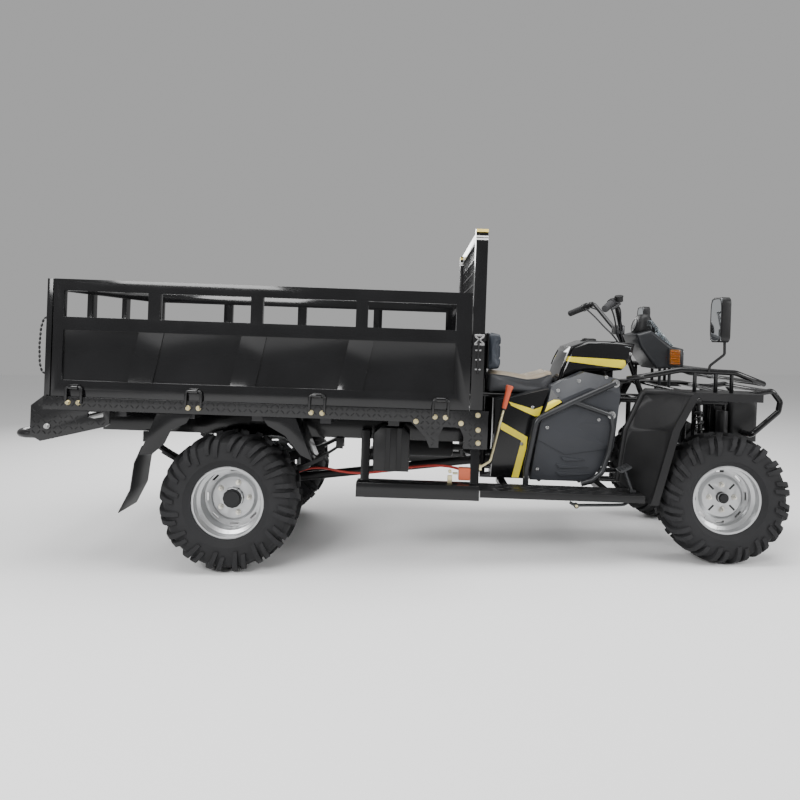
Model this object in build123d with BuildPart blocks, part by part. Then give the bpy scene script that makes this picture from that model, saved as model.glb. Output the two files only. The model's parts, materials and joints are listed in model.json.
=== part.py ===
from build123d import *
from math import asin, cos, degrees, radians, sin, tan
import os

# Four-wheeled farm cargo motorcycle: a straddled, handlebar-steered front with
# a drop-sided cargo bed behind it.
# X runs forward, Y to the rider's left, Z up. Lengths in mm, angles in degrees.
# The body stands nose down on its springs. Its pieces are drawn in the body's
# own frame, with u forward from above the rear axle and w up, and are then
# tipped by the rake. Wheels and knuckles are drawn upright.

os.makedirs("parts", exist_ok=True)

# Stance
wheelbase = 2302.0
rake = 2.03
rear_axle_x = -857.92

# Fits shared by all pieces
seat_gap = 0.3            # beside a curved or padded face
running_gap = 6.0         # beside a face that swings past
overrun = 20.0            # by which a cut passes its face

# Tyres and rims
rear_radius = 317.5
rear_tyre_width = 254.0
rear_outer_y = 597.0
rear_rim_radius = 165.0
front_radius = 305.0
front_tyre_width = 203.0
front_outer_y = 489.0
front_rim_radius = 160.0

# Cargo bed
deck_top = 774.0
deck_rear = -840.0
deck_front = 1068.0
deck_half_width = 590.0
floor_thickness = 8.0
skirt_thickness = 10.0
skirt_depth = 57.0
side_height = 527.0
panel_thickness = 30.0
gate_step = 5.0
gate_thickness = 25.0

# Chassis rails
rail_y = 290.0
rail_width = 50.0
rail_top = 690.0
rail_depth = 100.0
rail_rear = -700.0
rail_front = 1160.0

# Front cradle
tube_radius = 14.0
cradle_y = 115.0
cradle_w = 394.0
seat_bottom = 822.0
cradle_rear = 1166.0
cradle_front = 2440.0

# Steering
column_tilt = 22.0
clamp_u = 1894.0
clamp_w = 1169.0
column_length = 700.0
kingpin_y = 330.0
kingpin_reach = 70.0

rake_cos = cos(radians(rake))
rake_sin = sin(radians(rake))


def in_body(x, z):
    """Body-frame u and w of a point that is x ahead of the rear axle, z up."""
    return x * rake_cos - z * rake_sin, x * rake_sin + z * rake_cos


tipped = Pos(rear_axle_x, 0, 0) * Rot(0, rake, 0)
rear_axle_u, rear_axle_w = in_body(0, rear_radius)
front_axle_u, front_axle_w = in_body(wheelbase, front_radius)


def keep(shape, name, place):
    """Label one finished piece in its place and write it."""
    solid = shape.moved(place)
    solid.label = name
    export_step(solid, f"parts/{name}.step")


def keep_both(shape, name, place):
    """Write a right-hand piece and its mirror image as one node."""
    right = shape.moved(place)
    both = Compound(children=[*right.solids(), *mirror(right, about=Plane.XZ).solids()])
    both.label = name
    export_step(both, f"parts/{name}.step")


def keep_pair(shape, name, place):
    """Write a right-hand piece and its mirror image as two nodes."""
    right = shape.moved(place)
    right.label = f"{name}_right"
    export_step(right, f"parts/{name}_right.step")
    left = mirror(right, about=Plane.XZ)
    left.label = f"{name}_left"
    export_step(left, f"parts/{name}_left.step")


def block(u_range, y_range, w_range, mode=Mode.ADD):
    """Add or cut a box between two ends along each direction."""
    with Locations((u_range[0], y_range[0], w_range[0])):
        Box(
            u_range[1] - u_range[0], y_range[1] - y_range[0], w_range[1] - w_range[0],
            align=(Align.MIN, Align.MIN, Align.MIN), mode=mode,
        )


def plate(outline, y_range, mode=Mode.ADD):
    """Add or cut a plate with a side-view outline between two y places."""
    with BuildSketch(Plane.XZ.offset(-y_range[0])) as face:
        with BuildLine():
            Polyline(*outline, close=True)
        make_face()
    extrude(face.sketch, amount=y_range[0] - y_range[1], mode=mode)


def tube(points, radius, bend=0.0):
    """Add a round bar along straight runs joined by bends."""
    with BuildLine(mode=Mode.PRIVATE) as run:
        if len(points) == 2:
            Line(*points)
        else:
            FilletPolyline(*points, radius=bend)
    path = run.line
    with BuildSketch(Plane(origin=path @ 0, z_dir=path % 0)) as section:
        Circle(radius)
    sweep(section.sketch, path=path)


def rod_y(u, w, y_range, radius, mode=Mode.ADD):
    """Add or cut a round bar that lies across the vehicle."""
    with BuildSketch(Plane.XZ.offset(-y_range[0])) as section:
        with Locations((u, w)):
            Circle(radius)
    extrude(section.sketch, amount=y_range[0] - y_range[1], mode=mode)


def bar(start, end, radius, mode=Mode.ADD):
    """Add or cut a straight round bar between two points."""
    along = Vector(*end) - Vector(*start)
    with BuildSketch(Plane(origin=start, z_dir=along)) as section:
        Circle(radius)
    extrude(section.sketch, amount=along.length, mode=mode)


# Wheels. Each is turned about Y, with its outer face towards -Y.

def tyre_profile(radius, width, rim_radius):
    """Half-section of a low-pressure tyre: r outward, y across."""
    half = width / 2
    crown_share = 0.78
    shoulder_share = 0.80
    bead_share = 0.80
    crown = half * crown_share
    shoulder = rim_radius + (radius - rim_radius) * shoulder_share
    bulge = rim_radius + (radius - rim_radius) * (1 - shoulder_share)
    bead = half * bead_share
    return [
        (rim_radius, -bead), (bulge, -half), (shoulder, -half), (radius, -crown),
        (radius, crown), (shoulder, half), (bulge, half), (rim_radius, bead),
    ]


def revolved(outline):
    """Solid turned about Y from an outline of r and y."""
    with BuildPart() as turned:
        with BuildSketch(Plane.XY):
            with BuildLine():
                Polyline(*outline, close=True)
            make_face()
        revolve(axis=Axis.Y)
    return turned.part


def make_lug(radius, width, rim_radius):
    """One slanted lug of the -Y side, from past the middle down the sidewall."""
    root_width = width - 2 * (lug_side_rise + lug_sink)
    root = tyre_profile(radius - lug_rise - lug_sink, root_width, rim_radius)
    end = rim_radius + (radius - rim_radius) * lug_end_share
    far = -width / 2 - overrun
    with BuildPart() as lug:
        with BuildSketch(Plane.XY):
            with BuildLine():
                Polyline(
                    (root[3][0], lug_cross), root[3], root[2], (end, root[2][1]), (end, far),
                    (radius + overrun, far), (radius + overrun, lug_cross), close=True,
                )
            make_face()
        extrude(amount=lug_width / 2, both=True)
    return Rot(lug_lean, 0, 0) * lug.part & revolved(tyre_profile(radius, width, rim_radius))


def make_tyre(radius, width, rim_radius, wall):
    """Hollow tyre with two rows of slanted lugs, centred on the origin."""
    base = radius - lug_rise
    base_width = width - 2 * lug_side_rise
    right = make_lug(radius, width, rim_radius)
    left = mirror(right, about=Plane.XZ)
    pitch = 360 / lug_pitches
    lugs = [Rot(0, number * pitch, 0) * right for number in range(lug_pitches)]
    lugs += [Rot(0, (number + 1 / 2) * pitch, 0) * left for number in range(lug_pitches)]
    carcass = revolved(tyre_profile(base, base_width, rim_radius))
    hollow = revolved(tyre_profile(base - wall, base_width - 2 * wall, rim_radius))
    return carcass - hollow + lugs


def make_rim(rim_radius, width, disc_y, hub_radius, hub_depth, bore, cap_radius, nut_count):
    """Stepped rim with a dished disc, its windows, cap and nuts, and a hub."""
    lip = rim_radius
    sheet = 5.0
    well_drop = 22.0
    half = width / 2
    well_share = 0.45
    well = half * well_share
    nut_ring = (cap_radius + (lip - well_drop) * dish_share) / 2
    outline = [
        (lip, -half), (lip, -half + sheet), (lip - sheet, -half + sheet),
        (lip - sheet, -well - sheet), (lip - well_drop, -well),
        (lip - well_drop, well), (lip - sheet, well + sheet),
        (lip - sheet, half - sheet), (lip, half - sheet), (lip, half),
        (lip - 2 * sheet, half), (lip - 2 * sheet, well + sheet),
        (lip - well_drop - sheet, well), (lip - well_drop - sheet, -well),
        (lip - 2 * sheet, -well - sheet), (lip - 2 * sheet, -half),
    ]
    with BuildPart() as rim:
        with BuildSketch(Plane.XY):
            with BuildLine():
                Polyline(*outline, close=True)
            make_face()
        revolve(axis=Axis.Y)
        disc_radius = lip - well_drop - sheet / 2
        ring = disc_radius * dish_share
        with BuildSketch(Plane.XY):
            with BuildLine():
                Polyline(
                    (0, disc_y), (ring, disc_y), (ring + dish_depth, disc_y + dish_depth),
                    (disc_radius, disc_y + dish_depth),
                    (disc_radius, disc_y + dish_depth + sheet),
                    (ring + dish_depth, disc_y + dish_depth + sheet),
                    (ring, disc_y + sheet), (0, disc_y + sheet), close=True,
                )
            make_face()
        revolve(axis=Axis.Y)
        with BuildSketch(Plane.XZ.offset(-disc_y - dish_depth - 2 * sheet)) as windows:
            with PolarLocations((ring + dish_depth + disc_radius) / 2, window_count):
                Rectangle(window_height, window_length)
        extrude(windows.sketch, amount=3 * sheet, mode=Mode.SUBTRACT)
        rod_y(0, 0, (disc_y, disc_y + hub_depth), hub_radius)
        rod_y(0, 0, (disc_y - cap_depth, disc_y), cap_radius)
        with BuildSketch(Plane.XZ.offset(-disc_y)) as nuts:
            with PolarLocations(nut_ring, nut_count):
                RegularPolygon(nut_radius, 6)
        extrude(nuts.sketch, amount=nut_height)
        rod_y(0, 0, (disc_y + bore_floor, disc_y + hub_depth + overrun), bore, Mode.SUBTRACT)
    return rim.part


tyre_wall = 12.0
lug_rise = 17.0
lug_side_rise = 6.0
lug_sink = 6.0
lug_width = 30.0
lug_lean = 24.0
lug_cross = 14.0
lug_pitches = 16
lug_end_share = 0.5
dish_share = 0.68
dish_depth = 14.0
window_count = 8
window_height = 9.0
window_length = 38.0
cap_depth = 22.0
rear_cap_radius = 48.0
front_cap_radius = 25.0
rear_nut_count = 5
front_nut_count = 4
nut_radius = 10.0
nut_height = 12.0
bore_floor = 20.0
rear_tyre_y = rear_outer_y - rear_tyre_width / 2
front_tyre_y = front_outer_y - front_tyre_width / 2
rear_rim_width = 190.0
front_rim_width = 160.0
rear_disc_offset = 10.0
front_disc_offset = -20.0
rear_hub_radius = 60.0
front_hub_radius = 45.0
rear_hub_depth = 70.0
front_hub_depth = 40.0
rear_spindle_radius = 22.0
front_spindle_radius = 14.0
rear_wheel_place = Pos(rear_axle_x, -rear_tyre_y, rear_radius)
front_wheel_place = Pos(rear_axle_x + wheelbase, -front_tyre_y, front_radius)

rear_tyre = make_tyre(rear_radius, rear_tyre_width, rear_rim_radius, tyre_wall)
keep_pair(rear_tyre, "tyre_rear", rear_wheel_place)
front_tyre = make_tyre(front_radius, front_tyre_width, front_rim_radius, tyre_wall)
keep_pair(front_tyre, "tyre_front", front_wheel_place)
rear_rim = make_rim(
    rear_rim_radius, rear_rim_width, rear_disc_offset, rear_hub_radius, rear_hub_depth,
    rear_spindle_radius + seat_gap, rear_cap_radius, rear_nut_count,
)
keep_pair(rear_rim, "rim_rear", rear_wheel_place)
front_rim = make_rim(
    front_rim_radius, front_rim_width, front_disc_offset, front_hub_radius,
    front_hub_depth, front_spindle_radius + seat_gap, front_cap_radius, front_nut_count,
)
keep_pair(front_rim, "rim_front", front_wheel_place)

# Rear axle: a tube with the final-drive housing and the spindles.
axle_radius = 30.0
drive_housing_radius = 95.0
drive_housing_width = 120.0
backing_radius = 95.0
backing_thickness = 8.0
pinion_radius = 38.0
pinion_reach = 150.0
rear_hub_inner_y = rear_tyre_y - rear_disc_offset - rear_hub_depth
backing_y = rear_hub_inner_y - running_gap
with BuildPart() as rear_axle:
    rod_y(rear_axle_u, rear_axle_w, (-backing_y, backing_y), axle_radius)
    rod_y(
        rear_axle_u, rear_axle_w,
        (-drive_housing_width / 2, drive_housing_width / 2), drive_housing_radius,
    )
    for side in (-1, 1):
        inner = side * (backing_y - backing_thickness)
        rod_y(rear_axle_u, rear_axle_w, (inner, side * backing_y), backing_radius)
        tip = side * (rear_hub_inner_y + rear_hub_depth - bore_floor - seat_gap)
        rod_y(rear_axle_u, rear_axle_w, (inner, tip), rear_spindle_radius)
    bar(
        (rear_axle_u, 0, rear_axle_w), (rear_axle_u + pinion_reach, 0, rear_axle_w),
        pinion_radius,
    )
keep(rear_axle.part, "rear_axle", tipped)

# Chassis: two box rails joined by cross members.
member_height = 60.0
member_width = 40.0
member_count = 6
rail_bottom = rail_top - rail_depth
with BuildPart() as chassis:
    for side in (-1, 1):
        edge = side * rail_y - rail_width / 2
        block((rail_rear, rail_front), (edge, edge + rail_width), (rail_bottom, rail_top))
    pitch = (rail_front - rail_rear - member_width) / (member_count - 1)
    for number in range(member_count):
        start = rail_rear + number * pitch
        low = rail_bottom + (rail_depth - member_height) / 2
        block((start, start + member_width), (-rail_y, rail_y), (low, low + member_height))
keep(chassis.part, "chassis_frame", tipped)

# Leaf springs between the rails and the axle: a stack of curved leaves that
# grow shorter downward, an eye at each end of the main leaf and a hanger.
leaf_width = 60.0
leaf_thickness = 9.0
leaf_count = 5
spring_half_span = 470.0
spring_eye_w = 556.0
eye_radius = 17.0
hanger_thickness = 8.0
leaf_step_share = 0.16
spring_seat_w = rear_axle_w + axle_radius + seat_gap
spring_rise = spring_eye_w - spring_seat_w - leaf_count * leaf_thickness
arch_radius = (spring_half_span**2 + spring_rise**2) / (2 * spring_rise)
arch_centre_w = spring_seat_w + leaf_count * leaf_thickness + arch_radius
with BuildPart() as springs:
    for number in range(leaf_count):
        upper = arch_radius + number * leaf_thickness
        lower = upper + leaf_thickness
        reach = spring_half_span * (1 - number * leaf_step_share)
        angle = degrees(asin(reach / upper))
        with BuildSketch(Plane.XZ.offset(leaf_width / 2)):
            with BuildLine():
                start = -90 - angle
                inner = CenterArc((rear_axle_u, arch_centre_w), upper, start, 2 * angle)
                outer = CenterArc((rear_axle_u, arch_centre_w), lower, start, 2 * angle)
                Line(inner @ 0, outer @ 0)
                Line(inner @ 1, outer @ 1)
            make_face()
        extrude(amount=-leaf_width)
    for side in (-1, 1):
        end_u = rear_axle_u + side * spring_half_span
        rod_y(end_u, spring_eye_w, (-leaf_width / 2, leaf_width / 2), eye_radius)
        block(
            (end_u - eye_radius, end_u + eye_radius),
            (-leaf_width / 2 - hanger_thickness, -leaf_width / 2),
            (spring_eye_w - eye_radius, rail_bottom),
        )
        block(
            (end_u - eye_radius, end_u + eye_radius),
            (leaf_width / 2, leaf_width / 2 + hanger_thickness),
            (spring_eye_w - eye_radius, rail_bottom),
        )
keep_both(springs.part, "leaf_springs", tipped * Pos(0, -rail_y, 0))

# Cargo bed floor: sheet on cross bearers that rest on the rails, with a flat
# lining sheet between the drop sides.
bearer_width = 50.0
bearer_count = 7
bearer_inset = 30.0
bearer_half_length = deck_half_width - bearer_inset
floor_bottom = deck_top - floor_thickness
lining_thickness = 2.0
panel_outer_y = deck_half_width + skirt_thickness - running_gap
lining_half_width = panel_outer_y - panel_thickness - running_gap
gate_rear = deck_rear - gate_step
gate_front = gate_rear + gate_thickness
with BuildPart() as bed_floor:
    block(
        (deck_rear, deck_front), (-deck_half_width, deck_half_width),
        (floor_bottom, deck_top),
    )
    pitch = (rail_front - deck_rear - 3 * bearer_width) / (bearer_count - 1)
    for number in range(bearer_count):
        start = deck_rear + number * pitch
        block(
            (start, start + bearer_width), (-bearer_half_length, bearer_half_length),
            (rail_top, floor_bottom),
        )
    block(
        (gate_front + running_gap, deck_front - running_gap),
        (-lining_half_width, lining_half_width), (deck_top, deck_top + lining_thickness),
    )
keep(bed_floor.part, "bed_floor", tipped)

# Tread-plate edges of the bed, with the arched front gusset and the hinge loops.
skirt_bottom = deck_top - skirt_depth
skirt_outer_y = deck_half_width + skirt_thickness
gusset_front = 1148.0
gusset_bottom = 605.0
gusset_curve = [(805.0, skirt_bottom), (870.0, 652.0), (890.0, gusset_bottom)]
arch_rear = 931.0
arch_front = 1041.0
arch_spring = 660.0
arch_top = 699.0
arch_shoulder = 19.0
loop_bar = 6.0
loop_weld = 1.5
loop_length = 80.0
hinge_rise = 46.0
loop_places = (-702.0, -168.0, 383.0, 935.0)
hinge_y = skirt_outer_y + loop_bar - loop_weld
hinge_w = deck_top + hinge_rise
with BuildPart() as deck_edge:
    plate(
        [
            (deck_rear, deck_top), (gusset_front, deck_top),
            (gusset_front, gusset_bottom), (arch_front, gusset_bottom),
            (arch_front, arch_spring), (arch_front - arch_shoulder, arch_top),
            (arch_rear + arch_shoulder, arch_top), (arch_rear, arch_spring),
            (arch_rear, gusset_bottom), *reversed(gusset_curve),
            (deck_rear, skirt_bottom),
        ],
        (-skirt_outer_y, -deck_half_width),
    )
    for middle in loop_places:
        half = loop_length / 2 - loop_bar
        low = deck_top - skirt_depth / 2
        tube(
            [
                (middle - half, -hinge_y, low), (middle - half, -hinge_y, hinge_w),
                (middle + half, -hinge_y, hinge_w), (middle + half, -hinge_y, low),
            ],
            loop_bar, 2 * loop_bar,
        )
keep_both(deck_edge.part, "deck_edges", tipped)

# Drop sides: a frame of tubes, a pressed sheet with slanted ribs, stakes that
# carry the top rail, and knuckles round the hinge loops.
corner_gap = 31.0
floor_gap = 1.0
panel_rear = deck_rear + corner_gap
panel_front = deck_front - running_gap
panel_bottom = deck_top + floor_gap
sill_top = 848.0
sheet_top = 1073.0
middle_rail_top = 1132.0
top_rail_bottom = 1249.0
panel_top = deck_top + side_height
sheet_thickness = 5.0
sheet_inset = 14.0
stake_width = 53.0
rear_post_width = 45.0
front_post_width = 70.0
stake_places = (-361.0, 98.0, 569.0)
rib_height_out = 9.0
rib_lean = 45.0
rib_width = 112.0
rib_places = (-472.0, -12.0, 470.0)
knuckle_wall = 5.0
knuckle_length = 40.0


def stake_panel(length_range, face_y, stakes, first_post, last_post):
    """Add one framed side with its gap between the stakes."""
    back_y = face_y + panel_thickness
    low, high = length_range
    for bottom, top in (
        (panel_bottom, sill_top), (sheet_top, middle_rail_top),
        (top_rail_bottom, panel_top),
    ):
        block((low, high), (face_y, back_y), (bottom, top))
    block((low, low + first_post), (face_y, back_y), (panel_bottom, panel_top))
    block((high - last_post, high), (face_y, back_y), (panel_bottom, panel_top))
    for middle in stakes:
        block(
            (middle - stake_width / 2, middle + stake_width / 2), (face_y, back_y),
            (middle_rail_top, top_rail_bottom),
        )
    inset = face_y + sheet_inset
    block((low, high), (inset, inset + sheet_thickness), (sill_top, sheet_top))


with BuildPart() as side_panel:
    stake_panel(
        (panel_rear, panel_front), -panel_outer_y, stake_places,
        rear_post_width, front_post_width,
    )
    sheet_y = -panel_outer_y + sheet_inset
    for start in rib_places:
        plate(
            [
                (start, sill_top), (start + rib_width, sill_top),
                (start + rib_width + rib_lean, sheet_top),
                (start + rib_lean, sheet_top),
            ],
            (sheet_y - rib_height_out, sheet_y),
        )
    for middle in loop_places:
        knuckle = loop_bar + seat_gap + knuckle_wall
        span = (middle - knuckle_length / 2, middle + knuckle_length / 2)
        block(span, (-hinge_y, -panel_outer_y), (hinge_w - knuckle, hinge_w + knuckle))
        bar((span[0], -hinge_y, hinge_w), (span[1], -hinge_y, hinge_w), knuckle)
        bar(
            (span[0] - overrun, -hinge_y, hinge_w), (span[1] + overrun, -hinge_y, hinge_w),
            loop_bar + seat_gap, Mode.SUBTRACT,
        )
keep_pair(side_panel.part, "side_panel", tipped)

# Tailgate: the same frame across the back, on two loops behind the deck.
gate_half_width = deck_half_width - running_gap
gate_hinge_rise = 17.0
gate_hinge_u = gate_rear - loop_bar - running_gap
gate_hinge_w = panel_bottom + gate_hinge_rise
gate_stakes = (-195.0, 195.0)
gate_loop_inset = 190.0
gate_loops = (gate_loop_inset - deck_half_width, deck_half_width - gate_loop_inset)
with BuildPart() as tailgate:
    for bottom, top in (
        (panel_bottom, sill_top), (sheet_top, middle_rail_top),
        (top_rail_bottom, panel_top),
    ):
        block((gate_rear, gate_front), (-gate_half_width, gate_half_width), (bottom, top))
    for side in (-1, 1):
        outer = side * gate_half_width
        inner = outer - side * rear_post_width
        block(
            (gate_rear, gate_front), (min(outer, inner), max(outer, inner)),
            (panel_bottom, panel_top),
        )
    for middle in gate_stakes:
        block(
            (gate_rear, gate_front),
            (middle - stake_width / 2, middle + stake_width / 2),
            (middle_rail_top, top_rail_bottom),
        )
    block(
        (gate_rear + sheet_inset, gate_rear + sheet_inset + sheet_thickness),
        (-gate_half_width, gate_half_width), (sill_top, sheet_top),
    )
    for middle in gate_loops:
        knuckle = loop_bar + seat_gap + knuckle_wall
        block(
            (gate_hinge_u, gate_rear),
            (middle - knuckle_length / 2, middle + knuckle_length / 2),
            (gate_hinge_w - knuckle, gate_hinge_w + knuckle),
        )
        rod_y(
            gate_hinge_u, gate_hinge_w,
            (middle - knuckle_length / 2, middle + knuckle_length / 2), knuckle,
        )
        rod_y(
            gate_hinge_u, gate_hinge_w,
            (middle - knuckle_length, middle + knuckle_length), loop_bar + seat_gap,
            Mode.SUBTRACT,
        )
keep(tailgate.part, "tailgate", tipped)

# Rear edge of the bed with the tailgate's hinge loops, the step plates beside it
# and the looped rear bumper.
rear_plate = 4.0
gate_loop_bend = 8.5
bumper_start_u = -800.0
bumper_radius = 17.5
bumper_w = 600.0
bumper_back_u = -968.0
bumper_inset = 10.0
bumper_y = deck_half_width - bumper_inset
bumper_bend = 60.0
step_drop = 27.0
step_rise_share = 0.39
step_shoulder_share = 0.51
step_room = skirt_bottom - bumper_w
step_outline = [
    (deck_rear, deck_top), (-892.0, 732.0), (-893.0, bumper_w),
    (-846.0, bumper_w - step_drop), (-560.0, bumper_w + step_rise_share * step_room),
    (-540.0, bumper_w + step_shoulder_share * step_room), (-540.0, skirt_bottom),
    (deck_rear, skirt_bottom),
]
step_window = [
    (-637.0, 711.0), (-568.0, 711.0), (-568.0, 690.0), (-612.0, 681.0), (-637.0, 686.0),
]
with BuildPart() as rear_bumper:
    block(
        (deck_rear - rear_plate, deck_rear), (-deck_half_width, deck_half_width),
        (skirt_bottom, deck_top - floor_gap),
    )
    for middle in gate_loops:
        half = loop_length / 2 - loop_bar
        low = deck_top - skirt_depth / 2
        tube(
            [
                (deck_rear, middle - half, low), (gate_hinge_u, middle - half, low),
                (gate_hinge_u, middle - half, gate_hinge_w),
                (gate_hinge_u, middle + half, gate_hinge_w),
                (gate_hinge_u, middle + half, low), (deck_rear, middle + half, low),
            ],
            loop_bar, gate_loop_bend,
        )
    for side in (-1, 1):
        faces = sorted((side * skirt_outer_y, side * deck_half_width))
        plate(step_outline, faces)
        plate(step_window, (faces[0] - overrun, faces[1] + overrun), Mode.SUBTRACT)
    tube(
        [
            (bumper_start_u, -bumper_y, bumper_w), (bumper_back_u, -bumper_y, bumper_w),
            (bumper_back_u, bumper_y, bumper_w), (bumper_start_u, bumper_y, bumper_w),
        ],
        bumper_radius, bumper_bend,
    )
keep(rear_bumper.part, "rear_bumper", tipped)

# Headboard: two posts, and between them a framed wall, flat below and with
# crossed bars above.
post_length = 54.0
post_width = 54.0
post_inner_y = deck_half_width - post_width
post_top = 1597.0
post_round = 45.0
post_rail_height = 50.0
post_rail_inset = 12.0
wall_inset = 18.0
mesh_wire = 4.0
mesh_columns = 18
mesh_rows = 4
wall_u = deck_front + wall_inset
with BuildPart() as headboard:
    for side in (-1, 1):
        ends = sorted((side * deck_half_width, side * post_inner_y))
        block((deck_front, deck_front + post_length), ends, (gusset_bottom, post_top))
    across = (-post_inner_y + seat_gap, post_inner_y - seat_gap)
    rails = (deck_front + post_rail_inset, deck_front + post_length - post_rail_inset)
    for bottom in (
        deck_top, panel_top - post_rail_height, post_top - post_rail_height,
    ):
        block(rails, across, (bottom, bottom + post_rail_height))
    block((wall_u, wall_u + sheet_thickness), across, (deck_top, panel_top))
    thick = (wall_u, wall_u + mesh_wire)
    height = post_top - post_rail_height - panel_top
    for number in range(1, mesh_columns):
        middle = (2 * number / mesh_columns - 1) * post_inner_y
        block(
            thick, (middle - mesh_wire / 2, middle + mesh_wire / 2),
            (panel_top, panel_top + height),
        )
    for number in range(1, mesh_rows):
        middle = panel_top + number * height / mesh_rows
        block(thick, across, (middle - mesh_wire / 2, middle + mesh_wire / 2))
    top_edges = headboard.edges().filter_by(Axis.X).group_by(Axis.Z)[-1].sort_by(Axis.Y)
    fillet([top_edges[0], top_edges[-1]], radius=post_round)
keep(headboard.part, "headboard", tipped)

# Lower side beams under the bed, hung from its bearers.
beam_outer_y = 495.0
beam_inner_y = 405.0
beam_rear = 560.0
beam_front = 1131.0
beam_bottom = 348.0
beam_top = 416.0
hanger_width = 40.0
hanger_places = (575.0, 1091.0)
hanger_top = 650.0
with BuildPart() as lower_beam:
    block((beam_rear, beam_front), (-beam_outer_y, -beam_inner_y), (beam_bottom, beam_top))
    for start in hanger_places:
        span = (start, start + hanger_width)
        block(span, (-beam_inner_y - hanger_width, -beam_inner_y), (beam_top, hanger_top))
        block(
            span, (-beam_inner_y, -rail_y - rail_width / 2),
            (hanger_top - hanger_width, hanger_top),
        )
keep_both(lower_beam.part, "lower_beams", tipped)

# Footboards: folded plates on brackets from the cradle.
board_inner_y = 330.0
board_front = 1898.0
board_top = 397.0
board_thickness = 8.0
board_lip = 33.0
board_gap = 3.0
board_rear = beam_front + board_gap
bracket_width = 40.0
bracket_places = (1250.0, 1740.0)
with BuildPart() as footboard:
    board_bottom = board_top - board_thickness
    block(
        (board_rear, board_front), (-beam_outer_y, -board_inner_y),
        (board_bottom, board_top),
    )
    for edge in (-beam_outer_y, -board_inner_y - board_thickness):
        block(
            (board_rear, board_front), (edge, edge + board_thickness),
            (board_top - board_lip, board_bottom),
        )
    for start in bracket_places:
        block(
            (start, start + bracket_width),
            (-beam_outer_y, -cradle_y - tube_radius - seat_gap),
            (board_top - board_lip, board_bottom),
        )
keep_both(footboard.part, "footboards", tipped)

# Cradle: lower and upper tubes, uprights, cross members, cover stays, the two
# bushings that hold the steering column and the tubes behind the backrest.
upper_w = seat_bottom - seat_gap - tube_radius
upright_rear_u = cradle_rear + tube_radius
steering_post_u = 2000.0
arm_posts = (2215.0, 2365.0)
upright_front_u = cradle_front - tube_radius - seat_gap
upright_radius = 13.0
member_radius = 11.0
stay_radius = 10.0
stay_reach = 250.0
cover_bottom = 417.0
lower_stay_w = cover_bottom - seat_gap - stay_radius
lower_stays = (1250.0, 1450.0, 1650.0)
column_radius = 14.0
bushing_radius = 24.0
bushing_height = 24.0
lower_bushing_w = 566.0
pad_rear = 1188.0
pad_top = 1130.0
pad_post_y = 80.0
pad_post_radius = 10.0
pad_bar_radius = 9.0
pad_post_drop = 45.0
pad_post_u = pad_rear - seat_gap - pad_post_radius
uprights = (upright_rear_u, steering_post_u, *arm_posts, upright_front_u)


def on_column(w):
    """Place on the steering column's axis at a height."""
    return (clamp_u + (clamp_w - w) * tan(radians(column_tilt)), 0, w)


with BuildPart() as cradle:
    for side in (-1, 1):
        y = side * cradle_y
        bar((cradle_rear, y, upper_w), (cradle_front, y, upper_w), tube_radius)
        bar((cradle_rear, y, cradle_w), (cradle_front, y, cradle_w), tube_radius)
        for place in uprights:
            bar((place, y, cradle_w), (place, y, upper_w), upright_radius)
        for place in lower_stays:
            rod_y(place, lower_stay_w, sorted((y, side * stay_reach)), stay_radius)
        post = side * pad_post_y
        bar(
            (pad_post_u, post, upper_w), (pad_post_u, post, pad_top - pad_post_drop),
            pad_post_radius,
        )
    rod_y(
        pad_post_u, pad_top - 2 * pad_post_drop, (-pad_post_y, pad_post_y),
        pad_bar_radius,
    )
    for place in uprights:
        for level in (cradle_w, upper_w):
            rod_y(place, level, (-cradle_y, cradle_y), member_radius)
    rod_y(arm_posts[0], lower_bushing_w, (-cradle_y, cradle_y), member_radius)
    for post, level in ((steering_post_u, upper_w), (arm_posts[0], lower_bushing_w)):
        middle = on_column(level)
        ends = sorted((post, middle[0]))
        half = bushing_height / 2
        block(
            (ends[0], ends[1]), (-member_radius, member_radius),
            (level - half / 2, level + half / 2),
        )
        bar(on_column(level + half), on_column(level - half), bushing_radius)
        bar(
            on_column(level + bushing_height), on_column(level - bushing_height),
            column_radius + seat_gap, Mode.SUBTRACT,
        )
    block(
        (rail_front, upright_rear_u), (-rail_y - rail_width / 2, rail_y + rail_width / 2),
        (rail_bottom + rail_depth / 4, rail_top - rail_depth / 4),
    )
keep(cradle.part, "cradle", tipped)

# Engine and gearbox, as one closed mass on the cradle.
engine_rear = 1340.0
engine_front = 1760.0
engine_half_width = 140.0
engine_bottom = lower_stay_w + stay_radius + seat_gap
engine_top = upper_w - tube_radius - running_gap
with BuildPart() as engine:
    block(
        (engine_rear, engine_front), (-engine_half_width, engine_half_width),
        (engine_bottom, engine_top),
    )
keep(engine.part, "engine", tipped)

# Drive shaft between two joints, from the engine to the final drive.
shaft_radius = 22.0
shaft_joint_radius = 32.0
shaft_front_w = 470.0
shaft_rear_u = rear_axle_u + pinion_reach + shaft_joint_radius + seat_gap
shaft_front_u = engine_rear - shaft_joint_radius - seat_gap
with BuildPart() as drive_shaft:
    tube(
        [(shaft_rear_u, 0, rear_axle_w), (shaft_front_u, 0, shaft_front_w)],
        shaft_radius,
    )
    with Locations((shaft_rear_u, 0, rear_axle_w), (shaft_front_u, 0, shaft_front_w)):
        Sphere(shaft_joint_radius)
keep(drive_shaft.part, "drive_shaft", tipped)

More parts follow.
